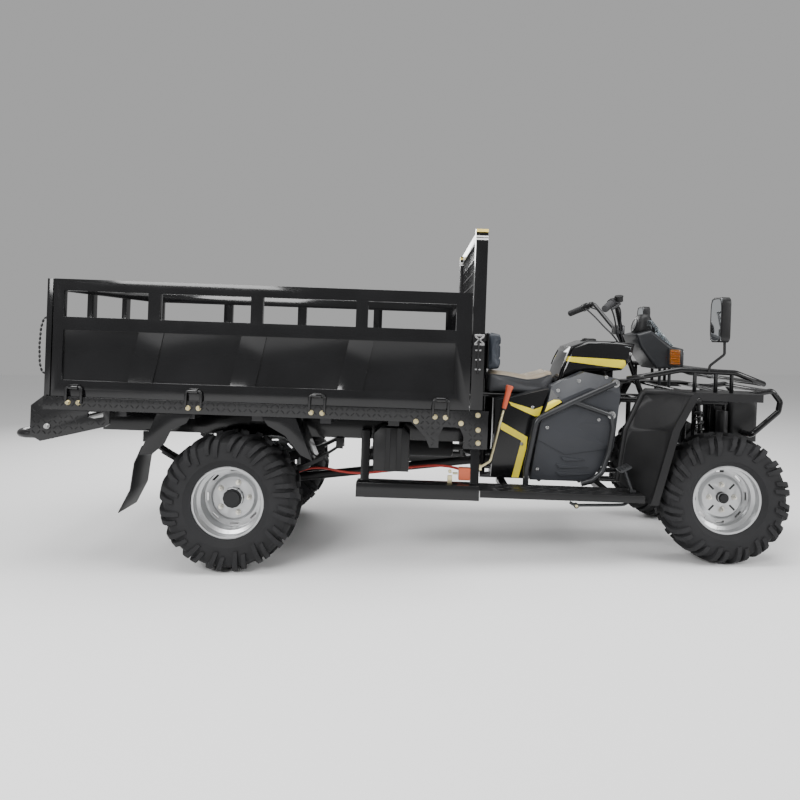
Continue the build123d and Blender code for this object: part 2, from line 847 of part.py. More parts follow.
# Exhaust: a silencer under the bed on the left, and its pipe from the engine.
silencer_radius = 58.0
silencer_rear = 660.0
silencer_front = 1040.0
silencer_y = 195.0
silencer_w = 480.0
pipe_radius = 17.0
pipe_turn_u = 1110.0
pipe_end_y = 75.0
pipe_bend = 55.0
strap_thickness = 6.0
strap_places = (720.0, 960.0)
with BuildPart() as exhaust:
    with BuildSketch(Plane.YZ.offset(silencer_rear)):
        with Locations((silencer_y, silencer_w)):
            Circle(silencer_radius)
    extrude(amount=silencer_front - silencer_rear)
    fillet(exhaust.edges().filter_by(GeomType.CIRCLE), radius=silencer_radius / 4)
    tube(
        [
            (silencer_front - pipe_bend, silencer_y, silencer_w),
            (pipe_turn_u, silencer_y, silencer_w), (pipe_turn_u, pipe_end_y, silencer_w),
            (engine_rear - seat_gap, pipe_end_y, silencer_w),
        ],
        pipe_radius, pipe_bend / 2,
    )
    for place in strap_places:
        block(
            (place, place + strap_thickness), (silencer_y, rail_y),
            (silencer_w, rail_bottom),
        )
keep(exhaust.part, "exhaust", tipped)

# Battery box with a chamfered lid, on the outside of the right rail.
box_rear = 634.0
box_front = 800.0
box_outer_y = 480.0
box_bottom = 468.0
box_top = 672.0
box_bevel = 30.0
with BuildPart() as battery_box:
    block(
        (box_rear, box_front), (-box_outer_y, -rail_y - rail_width / 2),
        (box_bottom, box_top),
    )
    upper = battery_box.faces().sort_by(Axis.Z)[-1]
    chamfer(upper.edges().filter_by(Axis.Y), length=box_bevel)
keep(battery_box.part, "battery_box", tipped)

# Mudguards behind and ahead of each rear wheel: bent sheet with a side web.
guard_outer_y = deck_half_width
guard_width = 190.0
guard_inner_y = deck_half_width - guard_width
guard_sheet = 5.0
guard_rear_line = [(-332.0, skirt_bottom), (-407.0, 525.0)]
guard_rear_web = [
    (-332.0, skirt_bottom), (-175.0, skirt_bottom), (-201.0, 673.0),
    (-267.0, 642.0), (-296.0, 578.0), (-348.0, 531.0), (-407.0, 525.0),
]
guard_front_line = [(286.0, skirt_bottom), (369.0, 525.0)]
guard_front_web = [
    (134.0, skirt_bottom), (286.0, skirt_bottom), (369.0, 525.0),
    (314.0, 550.0), (244.0, 633.0), (166.0, 675.0),
]


def strip(line, thickness):
    """Outline of a bent sheet that follows a side-view line."""
    return line + [(u + thickness, w) for u, w in reversed(line)]


with BuildPart() as mudguard:
    webs = (-guard_outer_y, -guard_outer_y + guard_sheet)
    across = (-guard_outer_y, -guard_inner_y)
    plate(guard_rear_web, webs)
    plate(strip(guard_rear_line, guard_sheet), across)
    plate(guard_front_web, webs)
    plate(strip(guard_front_line, -guard_sheet), across)
keep_both(mudguard.part, "mudguards", tipped)

# Rubber flaps behind the rear mudguards.
flap_line = [(-407.0, 525.0), (-423.0, 488.0), (-437.0, 367.0), (-487.0, 262.0)]
flap_thickness = 6.0
flap_lap = 40.0
with BuildPart() as mud_flap:
    rise = guard_rear_line[0][1] - guard_rear_line[1][1]
    lean = (guard_rear_line[0][0] - guard_rear_line[1][0]) / rise
    top = (flap_line[0][0] + flap_lap * lean, flap_line[0][1] + flap_lap)
    plate(strip([top, *flap_line], -flap_thickness), (-guard_outer_y, -guard_inner_y))
keep_both(mud_flap.part, "mud_flaps", tipped)

# Seat: a sprung saddle, dipped in the middle and rising to a horn.
seat_half_width = 135.0
seat_round = seat_half_width - cradle_y
seat_outline = [
    (1190.0, seat_bottom), (1190.0, 926.0), (1290.0, 918.0), (1393.0, 905.0),
    (1480.0, 925.0), (1524.0, 943.0), (1538.0, 900.0), (1505.0, seat_bottom),
]
with BuildPart() as seat:
    plate(seat_outline, (-seat_half_width, seat_half_width))
    sides = seat.faces().sort_by(Axis.Y)
    fillet(sides[0].edges() + sides[-1].edges(), radius=seat_round)
keep(seat.part, "seat", tipped)

# Backrest pad, on the tubes behind it.
pad_front = 1246.0
pad_half_width = 150.0
pad_bottom = 939.0
pad_round = 20.0
with BuildPart() as backrest:
    block((pad_rear, pad_front), (-pad_half_width, pad_half_width), (pad_bottom, pad_top))
    fillet(backrest.edges().filter_by(Axis.X), radius=pad_round)
keep(backrest.part, "backrest", tipped)

# Tank cover: a humped shell over the tubes, notched in front for the column.
tank_half_width = 150.0
tank_base_half_width = cradle_y
tank_round = 30.0
tank_outline = [
    (1548.0, 890.0), (1568.0, 960.0), (1612.0, 1072.0), (1700.0, 1106.0),
    (1850.0, 1108.0), (1944.0, 1099.0), (1926.0, 1010.0), (1880.0, 958.0),
    (1690.0, 940.0),
]
tank_base_rear = 1600.0
tank_base_front = 1840.0
notch_half_width = 45.0
notch_rear = 1842.0
with BuildPart() as tank_cover:
    plate(tank_outline, (-tank_half_width, tank_half_width))
    sides = tank_cover.faces().sort_by(Axis.Y)
    fillet(sides[0].edges() + sides[-1].edges(), radius=tank_round)
    block(
        (tank_base_rear, tank_base_front),
        (-tank_base_half_width, tank_base_half_width),
        (seat_bottom, tank_outline[2][1] - tank_round),
    )
    block(
        (notch_rear, tank_outline[5][0] + overrun), (-notch_half_width, notch_half_width),
        (seat_bottom, clamp_w), Mode.SUBTRACT,
    )
keep(tank_cover.part, "tank_cover", tipped)

# Side covers: hollow moulded shells on the cradle's stays, open inwards, with
# the upper edges sloped in towards the tank.
cover_outer_y = 320.0
cover_inner_y = 165.0
cover_wall = 6.0
cover_slope = 70.0
cover_slope_above = 850.0
cover_outline = [
    (1497.0, 875.0), (1658.0, 950.0), (1828.0, 922.0), (1795.0, 574.0),
    (1687.0, cover_bottom), (1394.0, cover_bottom), (1433.0, 687.0),
]
cover_step = 7.0
cover_lower = [
    (1360.0, 649.0), (1559.0, 547.0), (1860.0, 598.0), (1860.0, 380.0), (1360.0, 380.0),
]
cover_pocket = [(1618.0, 681.0), (1650.0, 710.0), (1772.0, 700.0), (1764.0, 600.0)]
pocket_depth = 3.0
louvre_lines = [
    [(1540.0, 536.0), (1660.0, 522.0), (1560.0, 514.0)],
    [(1520.0, 500.0), (1676.0, 488.0), (1536.0, 478.0)],
    [(1520.0, 462.0), (1690.0, 456.0), (1540.0, 440.0)],
]
rear_cover_outer_y = 285.0
rear_cover_outline = [
    (1215.0, 800.0), (1300.0, 815.0), (1478.0, 862.0), (1421.0, 687.0),
    (1382.0, cover_bottom), (1205.0, cover_bottom), (1215.0, 600.0),
]


def cover_shell(outline, outer_y, lower=None):
    """Moulded cover between two y places, open inwards, with a step above its lower part."""
    with BuildPart() as cover:
        plate(outline, (-outer_y, -cover_inner_y))
        outside = cover.faces().sort_by(Axis.Y)[0]
        slanted = outside.edges().filter_by(lambda edge: edge.center().Z > cover_slope_above)
        if slanted:
            chamfer(slanted, length=cover_slope)
        if lower:
            plate(lower, (-outer_y - overrun, -outer_y + cover_step), Mode.SUBTRACT)
        inside = cover.faces().sort_by(Axis.Y)[-1]
        offset(amount=-cover_wall, openings=inside)
    return cover.part


with BuildPart() as side_cover:
    add(cover_shell(cover_outline, cover_outer_y, cover_lower))
    plate(cover_pocket, (-cover_outer_y, -cover_outer_y + pocket_depth), Mode.SUBTRACT)
    for line in louvre_lines:
        plate(line, (-cover_outer_y, -cover_outer_y + cover_step))
keep_both(side_cover.part, "side_covers", tipped)
keep_both(cover_shell(rear_cover_outline, rear_cover_outer_y), "rear_covers", tipped)

# Guard tubes outside the side covers, standing on the footboards.
guard_radius = 14.0
guard_y = cover_outer_y + guard_radius + seat_gap
guard_run = [
    (1370.0, board_top + seat_gap), (1370.0, 470.0), (1413.0, 714.0),
    (1588.0, 806.0), (1790.0, 904.0),
]
guard_branch = [(1588.0, 806.0), (1775.0, 749.0)]
guard_rim = [
    (1775.0, 749.0), (1787.0, 690.0), (1768.0, 562.0), (1740.0, 470.0), (1690.0, 425.0),
]
guard_rim_end = 1640.0
guard_bend = 45.0
guard_branch_radius = 13.0
boss_radius = 21.0
boss_depth = 16.0
with BuildPart() as cover_guard:
    tube([(u, -guard_y, w) for u, w in guard_run], guard_radius, guard_bend)
    tube([(u, -guard_y, w) for u, w in guard_branch], guard_branch_radius)
    rest = (guard_rim_end, board_top + seat_gap + guard_branch_radius)
    tube([(u, -guard_y, w) for u, w in (*guard_rim, rest)], guard_branch_radius, guard_bend)
    for u, w in (guard_run[-1], guard_branch[-1]):
        rod_y(u, w, (-guard_y - boss_depth / 2, -guard_y + boss_depth / 2), boss_radius)
keep_both(cover_guard.part, "cover_guards", tipped)

# Front fenders: a splash panel that sweeps out from the frame to a rolled lip.
fender_sheet = 4.0
fender_inner_y = 300.0
fender_outer_y = 480.0
fender_top = 884.0
fender_inner = [(1825.0, 428.0), (1855.0, 675.0), (1922.0, 864.0), (1945.0, fender_top)]
fender_outer = [(1926.0, 355.0), (2016.0, 706.0), (2094.0, 862.0), (2117.0, fender_top)]
fender_front = 2430.0
lip_width = 22.0
lip_depth = 36.0
rim_radius = 14.0
rim_turn = (1935.0,)
rim_bend = 30.0
with BuildPart() as fender:
    for line, y in ((fender_inner, fender_inner_y), (fender_outer, fender_outer_y)):
        with BuildSketch(Plane.XZ.offset(y)):
            with BuildLine():
                Polyline(*strip(line, fender_sheet), close=True)
            make_face()
    loft(ruled=True)
    with BuildSketch(Plane.XY.offset(fender_top - fender_sheet)):
        with BuildLine():
            Polyline(
                (fender_inner[-1][0], -fender_inner_y), (fender_front, -fender_inner_y),
                (fender_front, -fender_outer_y), (fender_outer[-1][0], -fender_outer_y),
                close=True,
            )
        make_face()
    extrude(amount=fender_sheet)
    lip_line = [*fender_outer, (fender_front, fender_top)]
    lip_inner = [(u + lip_depth, w) for u, w in fender_outer[:3]]
    lip_inner += [(fender_outer[-1][0] + lip_depth, fender_top - lip_depth)]
    lip_inner += [(fender_front, fender_top - lip_depth)]
    plate(
        [*lip_line, *reversed(lip_inner)],
        (-fender_outer_y - lip_width / 2, -fender_outer_y + lip_width / 2),
    )
    rim_run = [(u, -fender_inner_y, w) for u, w in fender_inner[:2]]
    rim_run += [(u, -fender_inner_y - rim_radius, fender_top - rim_radius) for u in rim_turn]
    rim_run += [(fender_outer[-1][0], -fender_outer_y, fender_top - rim_radius)]
    tube(rim_run, rim_radius, rim_bend)
    block(
        (fender_inner[0][0] - overrun, board_front + seat_gap),
        (-fender_outer_y - lip_width, -board_inner_y + seat_gap),
        (fender_outer[0][1] - overrun, board_top + seat_gap), Mode.SUBTRACT,
    )
keep_both(fender.part, "front_fenders", tipped)

# Front rack: supports under the fenders, side rails and slats over them.
rack_bar = 11.0
rack_rail_radius = 13.0
rack_rail_y = 425.0
support_w = fender_top - fender_sheet - seat_gap - rack_bar
support_places = (2150.0, 2400.0)
rack_rail = [
    (1836.0, 368.0, 930.0), (1900.0, 418.0, 948.0), (2067.0, rack_rail_y, 984.0),
    (2328.0, rack_rail_y, 979.0), (2462.0, rack_rail_y, 931.0),
]
rack_leg_radius = 10.0
rack_post_radius = 9.0
rack_front_radius = 12.0
rack_posts = (2136.0, 2235.0, 2310.0)
slat_places = (2245.0, 2310.0)
slat_w = 978.0
rack_bend = 60.0
with BuildPart() as rack:
    for place in support_places:
        rod_y(place, support_w, (-rack_rail_y, rack_rail_y), rack_bar)
        for side in (-1, 1):
            bar(
                (place, side * cradle_y, upper_w + tube_radius + seat_gap),
                (place, side * cradle_y, support_w), rack_leg_radius,
            )
    for side in (-1, 1):
        tube([(u, side * y, w) for u, y, w in rack_rail], rack_rail_radius, rack_bend)
        y = side * rack_rail_y
        for place in rack_posts:
            bar((place, y, fender_top), (place, y, slat_w), rack_post_radius)
    for place in slat_places:
        rod_y(place, slat_w, (-rack_rail_y, rack_rail_y), rack_leg_radius)
    rod_y(rack_rail[-1][0], rack_rail[-1][2], (-rack_rail_y, rack_rail_y), rack_front_radius)
keep(rack.part, "front_rack", tipped)

# Mirrors on stalks from the rack rails.
mirror_y = 520.0
stalk_radius = 6.0
stalk_bend = 20.0
stalk_foot_y = rack_rail_y + rack_rail_radius + seat_gap + stalk_radius
stalk = [
    (2192.0, -stalk_foot_y, 980.0),
    (2194.0, -450.0, 1010.0), (2238.0, -500.0, 1066.0), (2226.0, -mirror_y, 1150.0),
]
mirror_low = (2186.0, 1120.0)
mirror_high = (2222.0, 1326.0)
mirror_depth = 38.0
mirror_half_width = 60.0
mirror_round = 30.0
with BuildPart() as side_mirror:
    tube(stalk, stalk_radius, stalk_bend)
    with BuildSketch(Plane.YZ.offset(mirror_low[0])):
        with Locations((-mirror_y, (mirror_low[1] + mirror_high[1]) / 2)):
            RectangleRounded(
                2 * mirror_half_width, mirror_high[1] - mirror_low[1], mirror_round,
            )
    extrude(amount=mirror_depth)
keep_both(side_mirror.part, "mirrors", tipped)

# Nacelle behind the lamp, its screen, headlight and turn signals.
nacelle_half_width = 128.0
nacelle_round = 18.0
nacelle_outline = [
    (1955.0, 1148.0), (2030.0, 1172.0), (2137.0, 1094.0), (2199.0, 1081.0),
    (2204.0, 985.0), (2063.0, 972.0), (2025.0, 1018.0), (1977.0, 1083.0),
]
lens_thickness = 12.0
lens_half_width = 90.0
lens_bottom = 995.0
lens_top = 1072.0
signal_rear = 2124.0
signal_front = 2174.0
signal_bottom = 998.0
signal_top = 1076.0
signal_depth = 22.0
screen_line = [(2034.0, 1226.0), (2151.0, 1092.0)]
screen_thickness = 4.0
screen_half_width = 105.0
nacelle_leg_radius = 8.0
nacelle_leg_y = 70.0
with BuildPart() as nacelle:
    plate(nacelle_outline, (-nacelle_half_width, nacelle_half_width))
    sides = nacelle.faces().sort_by(Axis.Y)
    fillet(sides[0].edges() + sides[-1].edges(), radius=nacelle_round)
    for side in (-1, 1):
        bar(
            (support_places[0], side * nacelle_leg_y, support_w + rack_bar + seat_gap),
            (support_places[0], side * nacelle_leg_y, nacelle_outline[3][1] - overrun),
            nacelle_leg_radius,
        )
keep(nacelle.part, "nacelle", tipped)
with BuildPart() as headlight:
    lens_u = nacelle_outline[4][0] + seat_gap
    block(
        (lens_u, lens_u + lens_thickness), (-lens_half_width, lens_half_width),
        (lens_bottom, lens_top),
    )
keep(headlight.part, "headlight", tipped)
with BuildPart() as turn_signal:
    block(
        (signal_rear, signal_front),
        (-nacelle_half_width - signal_depth, -nacelle_half_width),
        (signal_bottom, signal_top),
    )
keep_both(turn_signal.part, "turn_signals", tipped)
with BuildPart() as windscreen:
    plate(strip(screen_line, screen_thickness), (-screen_half_width, screen_half_width))
keep(windscreen.part, "windscreen", tipped)

# Radiator housing in front of the cradle, and the oil canister beside it.
housing_front = 2583.0
housing_half_width = 150.0
housing_bottom = 617.0
housing_top = 818.0
grille_slots = 6
grille_depth = 25.0
grille_border = 30.0
canister_radius = 28.0
canister_u = 2395.0
canister_bottom = 640.0
canister_top = 772.0
canister_clip = 4.0
with BuildPart() as radiator_housing:
    block(
        (cradle_front, housing_front), (-housing_half_width, housing_half_width),
        (housing_bottom, housing_top),
    )
    fillet(radiator_housing.edges().filter_by(Axis.Z), radius=nacelle_round)
    pitch = (housing_top - housing_bottom) / (grille_slots + 1)
    for number in range(grille_slots):
        middle = housing_bottom + (number + 1) * pitch
        block(
            (housing_front - grille_depth, housing_front + overrun),
            (-housing_half_width + grille_border, housing_half_width - grille_border),
            (middle - pitch / 4, middle + pitch / 4), Mode.SUBTRACT,
        )
keep(radiator_housing.part, "radiator_housing", tipped)
with BuildPart() as canister:
    canister_y = cradle_y + upright_radius + seat_gap + canister_radius
    bar(
        (canister_u, -canister_y, canister_bottom), (canister_u, -canister_y, canister_top),
        canister_radius,
    )
    level = (canister_bottom + canister_top) / 2
    block(
        (canister_u, upright_front_u), (-canister_y, -canister_y + canister_clip),
        (level, level + canister_radius),
    )
    block(
        (upright_front_u - canister_clip, upright_front_u),
        (-canister_y, -cradle_y - upright_radius - seat_gap),
        (level, level + canister_radius),
    )
keep(canister.part, "canister", tipped)

# Front bumper: two bent tubes from the housing up to the rack, tied in front.
bumper_loop_y = 250.0
bumper_tube = 14.0
bumper_tube_bend = 22.0
bumper_tie_radius = 12.0
bumper_loop = [
    (2500.0, housing_half_width + seat_gap, 665.0), (2500.0, bumper_loop_y, 665.0),
    (2631.0, bumper_loop_y, 785.0), (2639.0, bumper_loop_y, 835.0),
    (2597.0, bumper_loop_y, 888.0), (2500.0, bumper_loop_y, support_w),
    (support_places[1] + rack_bar + seat_gap, bumper_loop_y, support_w),
]
with BuildPart() as front_bumper:
    for side in (-1, 1):
        tube([(u, side * y, w) for u, y, w in bumper_loop], bumper_tube, bumper_tube_bend)
    rod_y(
        bumper_loop[4][0], bumper_loop[4][2] - bumper_tube / 2,
        (-bumper_loop_y, bumper_loop_y), bumper_tie_radius,
    )
keep(front_bumper.part, "front_bumper", tipped)

# Front suspension, drawn upright: two arms a side with ball-joint housings.


def in_level(u, w):
    """Distance ahead of the rear axle and height of a body-frame point."""
    return u * rake_cos + w * rake_sin, w * rake_cos - u * rake_sin


upright = Pos(rear_axle_x, 0, 0)
joint_radius = 18.0
joint_height = 24.0
arm_radius = 11.0
arm_sleeve_radius = 14.0
arm_sleeve_length = 34.0
upper_arm_w = 480.0
leg_shift = 5.0
sleeve_y = cradle_y + tube_radius + seat_gap + arm_sleeve_radius
shock_low_y = 225.0
shock_bar_radius = 9.0
leg_share = (shock_low_y - sleeve_y) / (kingpin_y - sleeve_y)
shock_bar_ends = []
with BuildPart() as front_arms:
    for level, body_w, shift in (
        (-kingpin_reach, cradle_w, -leg_shift), (kingpin_reach, upper_arm_w, leg_shift),
    ):
        centre = (wheelbase, -kingpin_y, front_radius + level)
        half = joint_height / 2
        tip = Vector(wheelbase, -kingpin_y + joint_radius / 3, centre[2] + shift)
        bar(
            (wheelbase, -kingpin_y, centre[2] - half), (wheelbase, -kingpin_y, centre[2] + half),
            joint_radius,
        )
        for place in arm_posts:
            x, z = in_level(place, body_w)
            bar(
                (x - arm_sleeve_length / 2, -sleeve_y, z),
                (x + arm_sleeve_length / 2, -sleeve_y, z), arm_sleeve_radius,
            )
            root = Vector(x, -sleeve_y, z)
            bar(root, tip, arm_radius)
            shock_bar_ends.append(root + (tip - root) * leg_share)
    bar(shock_bar_ends[0], shock_bar_ends[1], shock_bar_radius)
keep_both(front_arms.part, "front_arms", upright)

# Shock absorbers from the lower arms up to the cradle: a damper inside a coil,
# whose turns are drawn as rings.
shock_eye_radius = 14.0
shock_eye_length = 30.0
damper_radius = 11.0
damper_body_radius = 17.0
coil_radius = 25.0
coil_turns = 7
coil_fill_share = 0.5
coil_start_share = 0.2
coil_end_share = 0.86
with BuildPart() as shock:
    rise = Vector(0, 0, shock_bar_radius + seat_gap + shock_eye_radius)
    low = (shock_bar_ends[0] + shock_bar_ends[1]) / 2 + rise
    top_u, top_w = in_body(low.X, low.Z)
    top_z = in_level(top_u, upper_w)[1]
    high_y = cradle_y + tube_radius + seat_gap + shock_eye_radius
    high = Vector(low.X, -high_y, top_z)
    bar(low, high, damper_radius)
    coil_low = low + (high - low) * coil_start_share
    coil_high = low + (high - low) * coil_end_share
    bar(coil_low, coil_high, damper_body_radius)
    turn = (coil_high - coil_low) / coil_turns
    for number in range(coil_turns):
        start = coil_low + turn * number
        bar(start, start + turn * coil_fill_share, coil_radius)
    half = Vector(shock_eye_length / 2, 0, 0)
    bar(low - half, low + half, shock_eye_radius)
    bar(high - half, high + half, shock_eye_radius)
keep_both(shock.part, "shocks", upright)

# Steering knuckles between the ball joints, with the spindle and steering arm.
knuckle_radius = 15.0
knuckle_flange_radius = 42.0
knuckle_flange = 8.0
knuckle_flange_y = 352.0
steer_arm_reach = 110.0
steer_arm_inset = 25.0
steer_arm_drop = 25.0
steer_arm_radius = 7.0
steer_eye_radius = 14.0
steer_eye_height = 16.0
arm_level = front_radius - steer_arm_drop
arm_end = (wheelbase - steer_arm_reach, -kingpin_y + steer_arm_inset, arm_level)
with BuildPart() as knuckle:
    half = kingpin_reach - joint_height / 2 - seat_gap
    bar(
        (wheelbase, -kingpin_y, front_radius - half),
        (wheelbase, -kingpin_y, front_radius + half), knuckle_radius,
    )
    spindle_tip = front_tyre_y - front_disc_offset - bore_floor - seat_gap
    rod_y(wheelbase, front_radius, (-spindle_tip, -kingpin_y), front_spindle_radius)
    rod_y(
        wheelbase, front_radius, (-knuckle_flange_y - knuckle_flange, -knuckle_flange_y),
        knuckle_flange_radius,
    )
    bar((wheelbase, -kingpin_y, arm_level), arm_end, steer_arm_radius)
    bar(
        (arm_end[0], arm_end[1], arm_level - steer_eye_height / 2),
        (arm_end[0], arm_end[1], arm_level + steer_eye_height / 2), steer_eye_radius,
    )
keep_pair(knuckle.part, "knuckle", upright)

# Steering column with the handlebar clamp above and the pitman plate below.
handlebar_radius = 11.0
clamp_half = 24.0
clamp_half_width = 36.0
pitman_reach = 86.0
pitman_pin_y = 22.0
pitman_pin_radius = 5.0
pitman_thickness = 10.0
pitman_border = 12.0
rod_eye_radius = 11.0
rod_eye_height = 14.0
column_axis = Vector(sin(radians(column_tilt)), 0, -cos(radians(column_tilt)))
column_back = Vector(-cos(radians(column_tilt)), 0, -sin(radians(column_tilt)))
column_foot = Vector(clamp_u, 0, clamp_w) + column_axis * column_length
pin_foot = column_foot + column_back * pitman_reach
eye_middle = column_axis * (pitman_thickness / 2 + seat_gap + rod_eye_height / 2)
with BuildPart() as steering_column:
    bar(on_column(clamp_w - clamp_half / 2), column_foot, column_radius)
    block(
        (clamp_u - clamp_half, clamp_u + clamp_half), (-clamp_half_width, clamp_half_width),
        (clamp_w - clamp_half, clamp_w + clamp_half),
    )
    rod_y(
        clamp_u, clamp_w, (-clamp_half_width - overrun, clamp_half_width + overrun),
        handlebar_radius + seat_gap, Mode.SUBTRACT,
    )
    foot_plane = Plane(origin=column_foot, x_dir=column_back, z_dir=column_axis)
    with BuildSketch(foot_plane) as pitman:
        with BuildLine():
            Polyline(
                (-column_radius - pitman_border / 2, -column_radius),
                (pitman_reach + pitman_border, -pitman_pin_y - pitman_border),
                (pitman_reach + pitman_border, pitman_pin_y + pitman_border),
                (-column_radius - pitman_border / 2, column_radius), close=True,
            )
        make_face()
    extrude(amount=pitman_thickness / 2, both=True)
    for side in (-1, 1):
        pin = pin_foot + Vector(0, side * pitman_pin_y, 0)
        bar(pin, pin + eye_middle * 2, pitman_pin_radius)
keep(steering_column.part, "steering_column", tipped)

# Tie rods from the pitman pins to just above the steering arms' eyes.
tie_rod_radius = 7.0
open_gap = 6.0
rod_end_radius = 11.0
rod_end_height = 14.0
with BuildPart() as tie_rod:
    inner = pin_foot + Vector(0, -pitman_pin_y, 0) + eye_middle
    end_z = arm_level + steer_eye_height / 2 + open_gap + rod_end_height / 2
    end_u, end_w = in_body(arm_end[0], end_z)
    outer = Vector(end_u, arm_end[1], end_w)
    bar(inner, outer, tie_rod_radius)
    for centre, along, height, radius in (
        (inner, column_axis, rod_eye_height, rod_eye_radius),
        (outer, Vector(0, 0, 1), rod_end_height, rod_end_radius),
    ):
        bar(centre - along * (height / 2), centre + along * (height / 2), radius)
    bar(
        inner - column_axis * rod_eye_height, inner + column_axis * rod_eye_height,
        pitman_pin_radius + seat_gap, Mode.SUBTRACT,
    )
keep_pair(tie_rod.part, "tie_rod", tipped)

# Handlebar: one bent tube; grips, lever perches and levers on its ends.
grip_top_back = 82.0
grip_top_y = 205.0
grip_top_rise = 148.0
grip_end_back = 178.0
grip_end_y = 370.0
grip_end_rise = 93.0
grip_top = Vector(clamp_u - grip_top_back, -grip_top_y, clamp_w + grip_top_rise)
grip_end = Vector(clamp_u - grip_end_back, -grip_end_y, clamp_w + grip_end_rise)
bar_rise_y = 50.0
bar_bend = 36.0
grip_length = 118.0
grip_radius = 17.0
grip_way = (grip_end - grip_top).normalized()
grip_start = grip_end - grip_way * grip_length
lever_way = Vector(-grip_way.Y, grip_way.X, 0).normalized()
if lever_way.X < 0:
    lever_way = lever_way * -1
perch_radius = 18.0
perch_length = 26.0
perch_offset = 36.0
lever_radius = 5.0
lever_gap = 46.0
lever_tip_share = 0.8
lever_bend = 15.0
with BuildPart() as handlebar:
    right = [grip_start, grip_top, Vector(clamp_u, -bar_rise_y, clamp_w)]
    left = [Vector(point.X, -point.Y, point.Z) for point in reversed(right)]
    tube([*right, *left], handlebar_radius, bar_bend)
keep(handlebar.part, "handlebar", tipped)
with BuildPart() as grip:
    bar(grip_start, grip_end, grip_radius)
keep_both(grip.part, "grips", tipped)
with BuildPart() as control:
    perch = grip_start - grip_way * perch_offset
    bar(perch, perch + grip_way * perch_length, perch_radius)
    middle = perch + grip_way * (perch_length / 2)
    tube(
        [
            middle + lever_way * (handlebar_radius + perch_radius) / 2,
            middle + lever_way * lever_gap + grip_way * perch_length,
            middle + lever_way * lever_gap * lever_tip_share
            + grip_way * (grip_length + perch_length),
        ],
        lever_radius, lever_bend,
    )
    bar(
        perch - grip_way * overrun, perch + grip_way * (perch_length + overrun),
        handlebar_radius + seat_gap, Mode.SUBTRACT,
    )
keep_both(control.part, "controls", tipped)

# Gear lever on the front hanger of the right lower beam, and its knob.
lever_y = 425.0
gear_rod_radius = 6.0
lever_foot_u = hanger_places[1] + hanger_width + seat_gap
gear_lever_run = [
    Vector(lever_foot_u + gear_rod_radius, -lever_y, 491.0),
    Vector(1184.0, -lever_y, 521.0), Vector(1243.0, -400.0, 768.0),
]
gear_bend = 25.0
knob_length = 116.0
knob_radius = 13.0
with BuildPart() as gear_lever:
    tube(gear_lever_run, gear_rod_radius, gear_bend)
    foot = gear_lever_run[0]
    block(
        (lever_foot_u, foot.X + gear_rod_radius),
        (foot.Y - 2 * gear_rod_radius, foot.Y + 2 * gear_rod_radius),
        (foot.Z - 2 * gear_rod_radius, foot.Z + 2 * gear_rod_radius),
    )
keep(gear_lever.part, "gear_lever", tipped)
with BuildPart() as gear_knob:
    knob_way = (gear_lever_run[2] - gear_lever_run[1]).normalized()
    knob_start = gear_lever_run[2] + knob_way * seat_gap
    bar(knob_start, knob_start + knob_way * knob_length, knob_radius)
keep(gear_knob.part, "gear_knob", tipped)

# Switch box behind the same hanger, and the red brake hose to it from the axle.
switch_length = 55.0
switch_height = 58.0
switch_bottom = 430.0
switch_inner_y = 410.0
switch_outer_y = 444.0
hose_radius = 6.0
hose_y = 235.0
hose_bend = 40.0
with BuildPart() as switch_box:
    switch_rear = hanger_places[1] - switch_length
    block(
        (switch_rear, hanger_places[1]), (-switch_outer_y, -switch_inner_y),
        (switch_bottom, switch_bottom + switch_height),
    )
keep(switch_box.part, "switch_box", tipped)
with BuildPart() as brake_hose:
    hose_level = switch_bottom + switch_height / 2
    end_place = switch_rear + switch_length / 2
    tube(
        [
            (rear_axle_u + axle_radius + seat_gap, -hose_y, rear_axle_w),
            (120.0, -hose_y, rear_axle_w), (300.0, -hose_y, 440.0), (540.0, -hose_y, 392.0),
            (760.0, -hose_y, 436.0), (940.0, -hose_y, hose_level),
            (end_place, -hose_y - 2 * hose_bend, hose_level),
            (end_place, -switch_inner_y + seat_gap, hose_level),
        ],
        hose_radius, hose_bend,
    )
keep(brake_hose.part, "brake_hose", tipped)

# Brake pedal on the right footboard.
pedal_y = 430.0
pedal_foot_u = 1857.0
pedal_head = (1815.0, 512.0)
pedal_stalk_radius = 7.0
pedal_foot_size = 14.0
pedal_length = 56.0
pedal_width = 76.0
pedal_thickness = 10.0
pedal_tilt = 28.0
with BuildPart() as brake_pedal:
    head = (pedal_head[0], -pedal_y, pedal_head[1])
    foot_w = board_top + seat_gap
    bar((pedal_foot_u, -pedal_y, foot_w + pedal_foot_size / 2), head, pedal_stalk_radius)
    block(
        (pedal_foot_u - pedal_foot_size, pedal_foot_u + pedal_foot_size),
        (-pedal_y - pedal_foot_size, -pedal_y + pedal_foot_size),
        (foot_w, foot_w + pedal_foot_size),
    )
    with Locations(Location(head, (0, -pedal_tilt, 0))):
        Box(pedal_length, pedal_width, pedal_thickness)
keep(brake_pedal.part, "brake_pedal", tipped)

# Tail lamps on the rear sill.
lamp_depth = 26.0
lamp_inset = 35.0
lamp_width = 100.0
lamp_outer_y = deck_half_width - lamp_inset
lamp_inner_y = lamp_outer_y - lamp_width
lamp_bottom = 722.0
lamp_top = 768.0
with BuildPart() as tail_lamp:
    lamp_face = deck_rear - rear_plate
    block(
        (lamp_face - lamp_depth, lamp_face), (-lamp_outer_y, -lamp_inner_y),
        (lamp_bottom, lamp_top),
    )
keep_both(tail_lamp.part, "tail_lamps", tipped)
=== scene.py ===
import json
import math

import bmesh
import bpy
from mathutils import Matrix, Vector

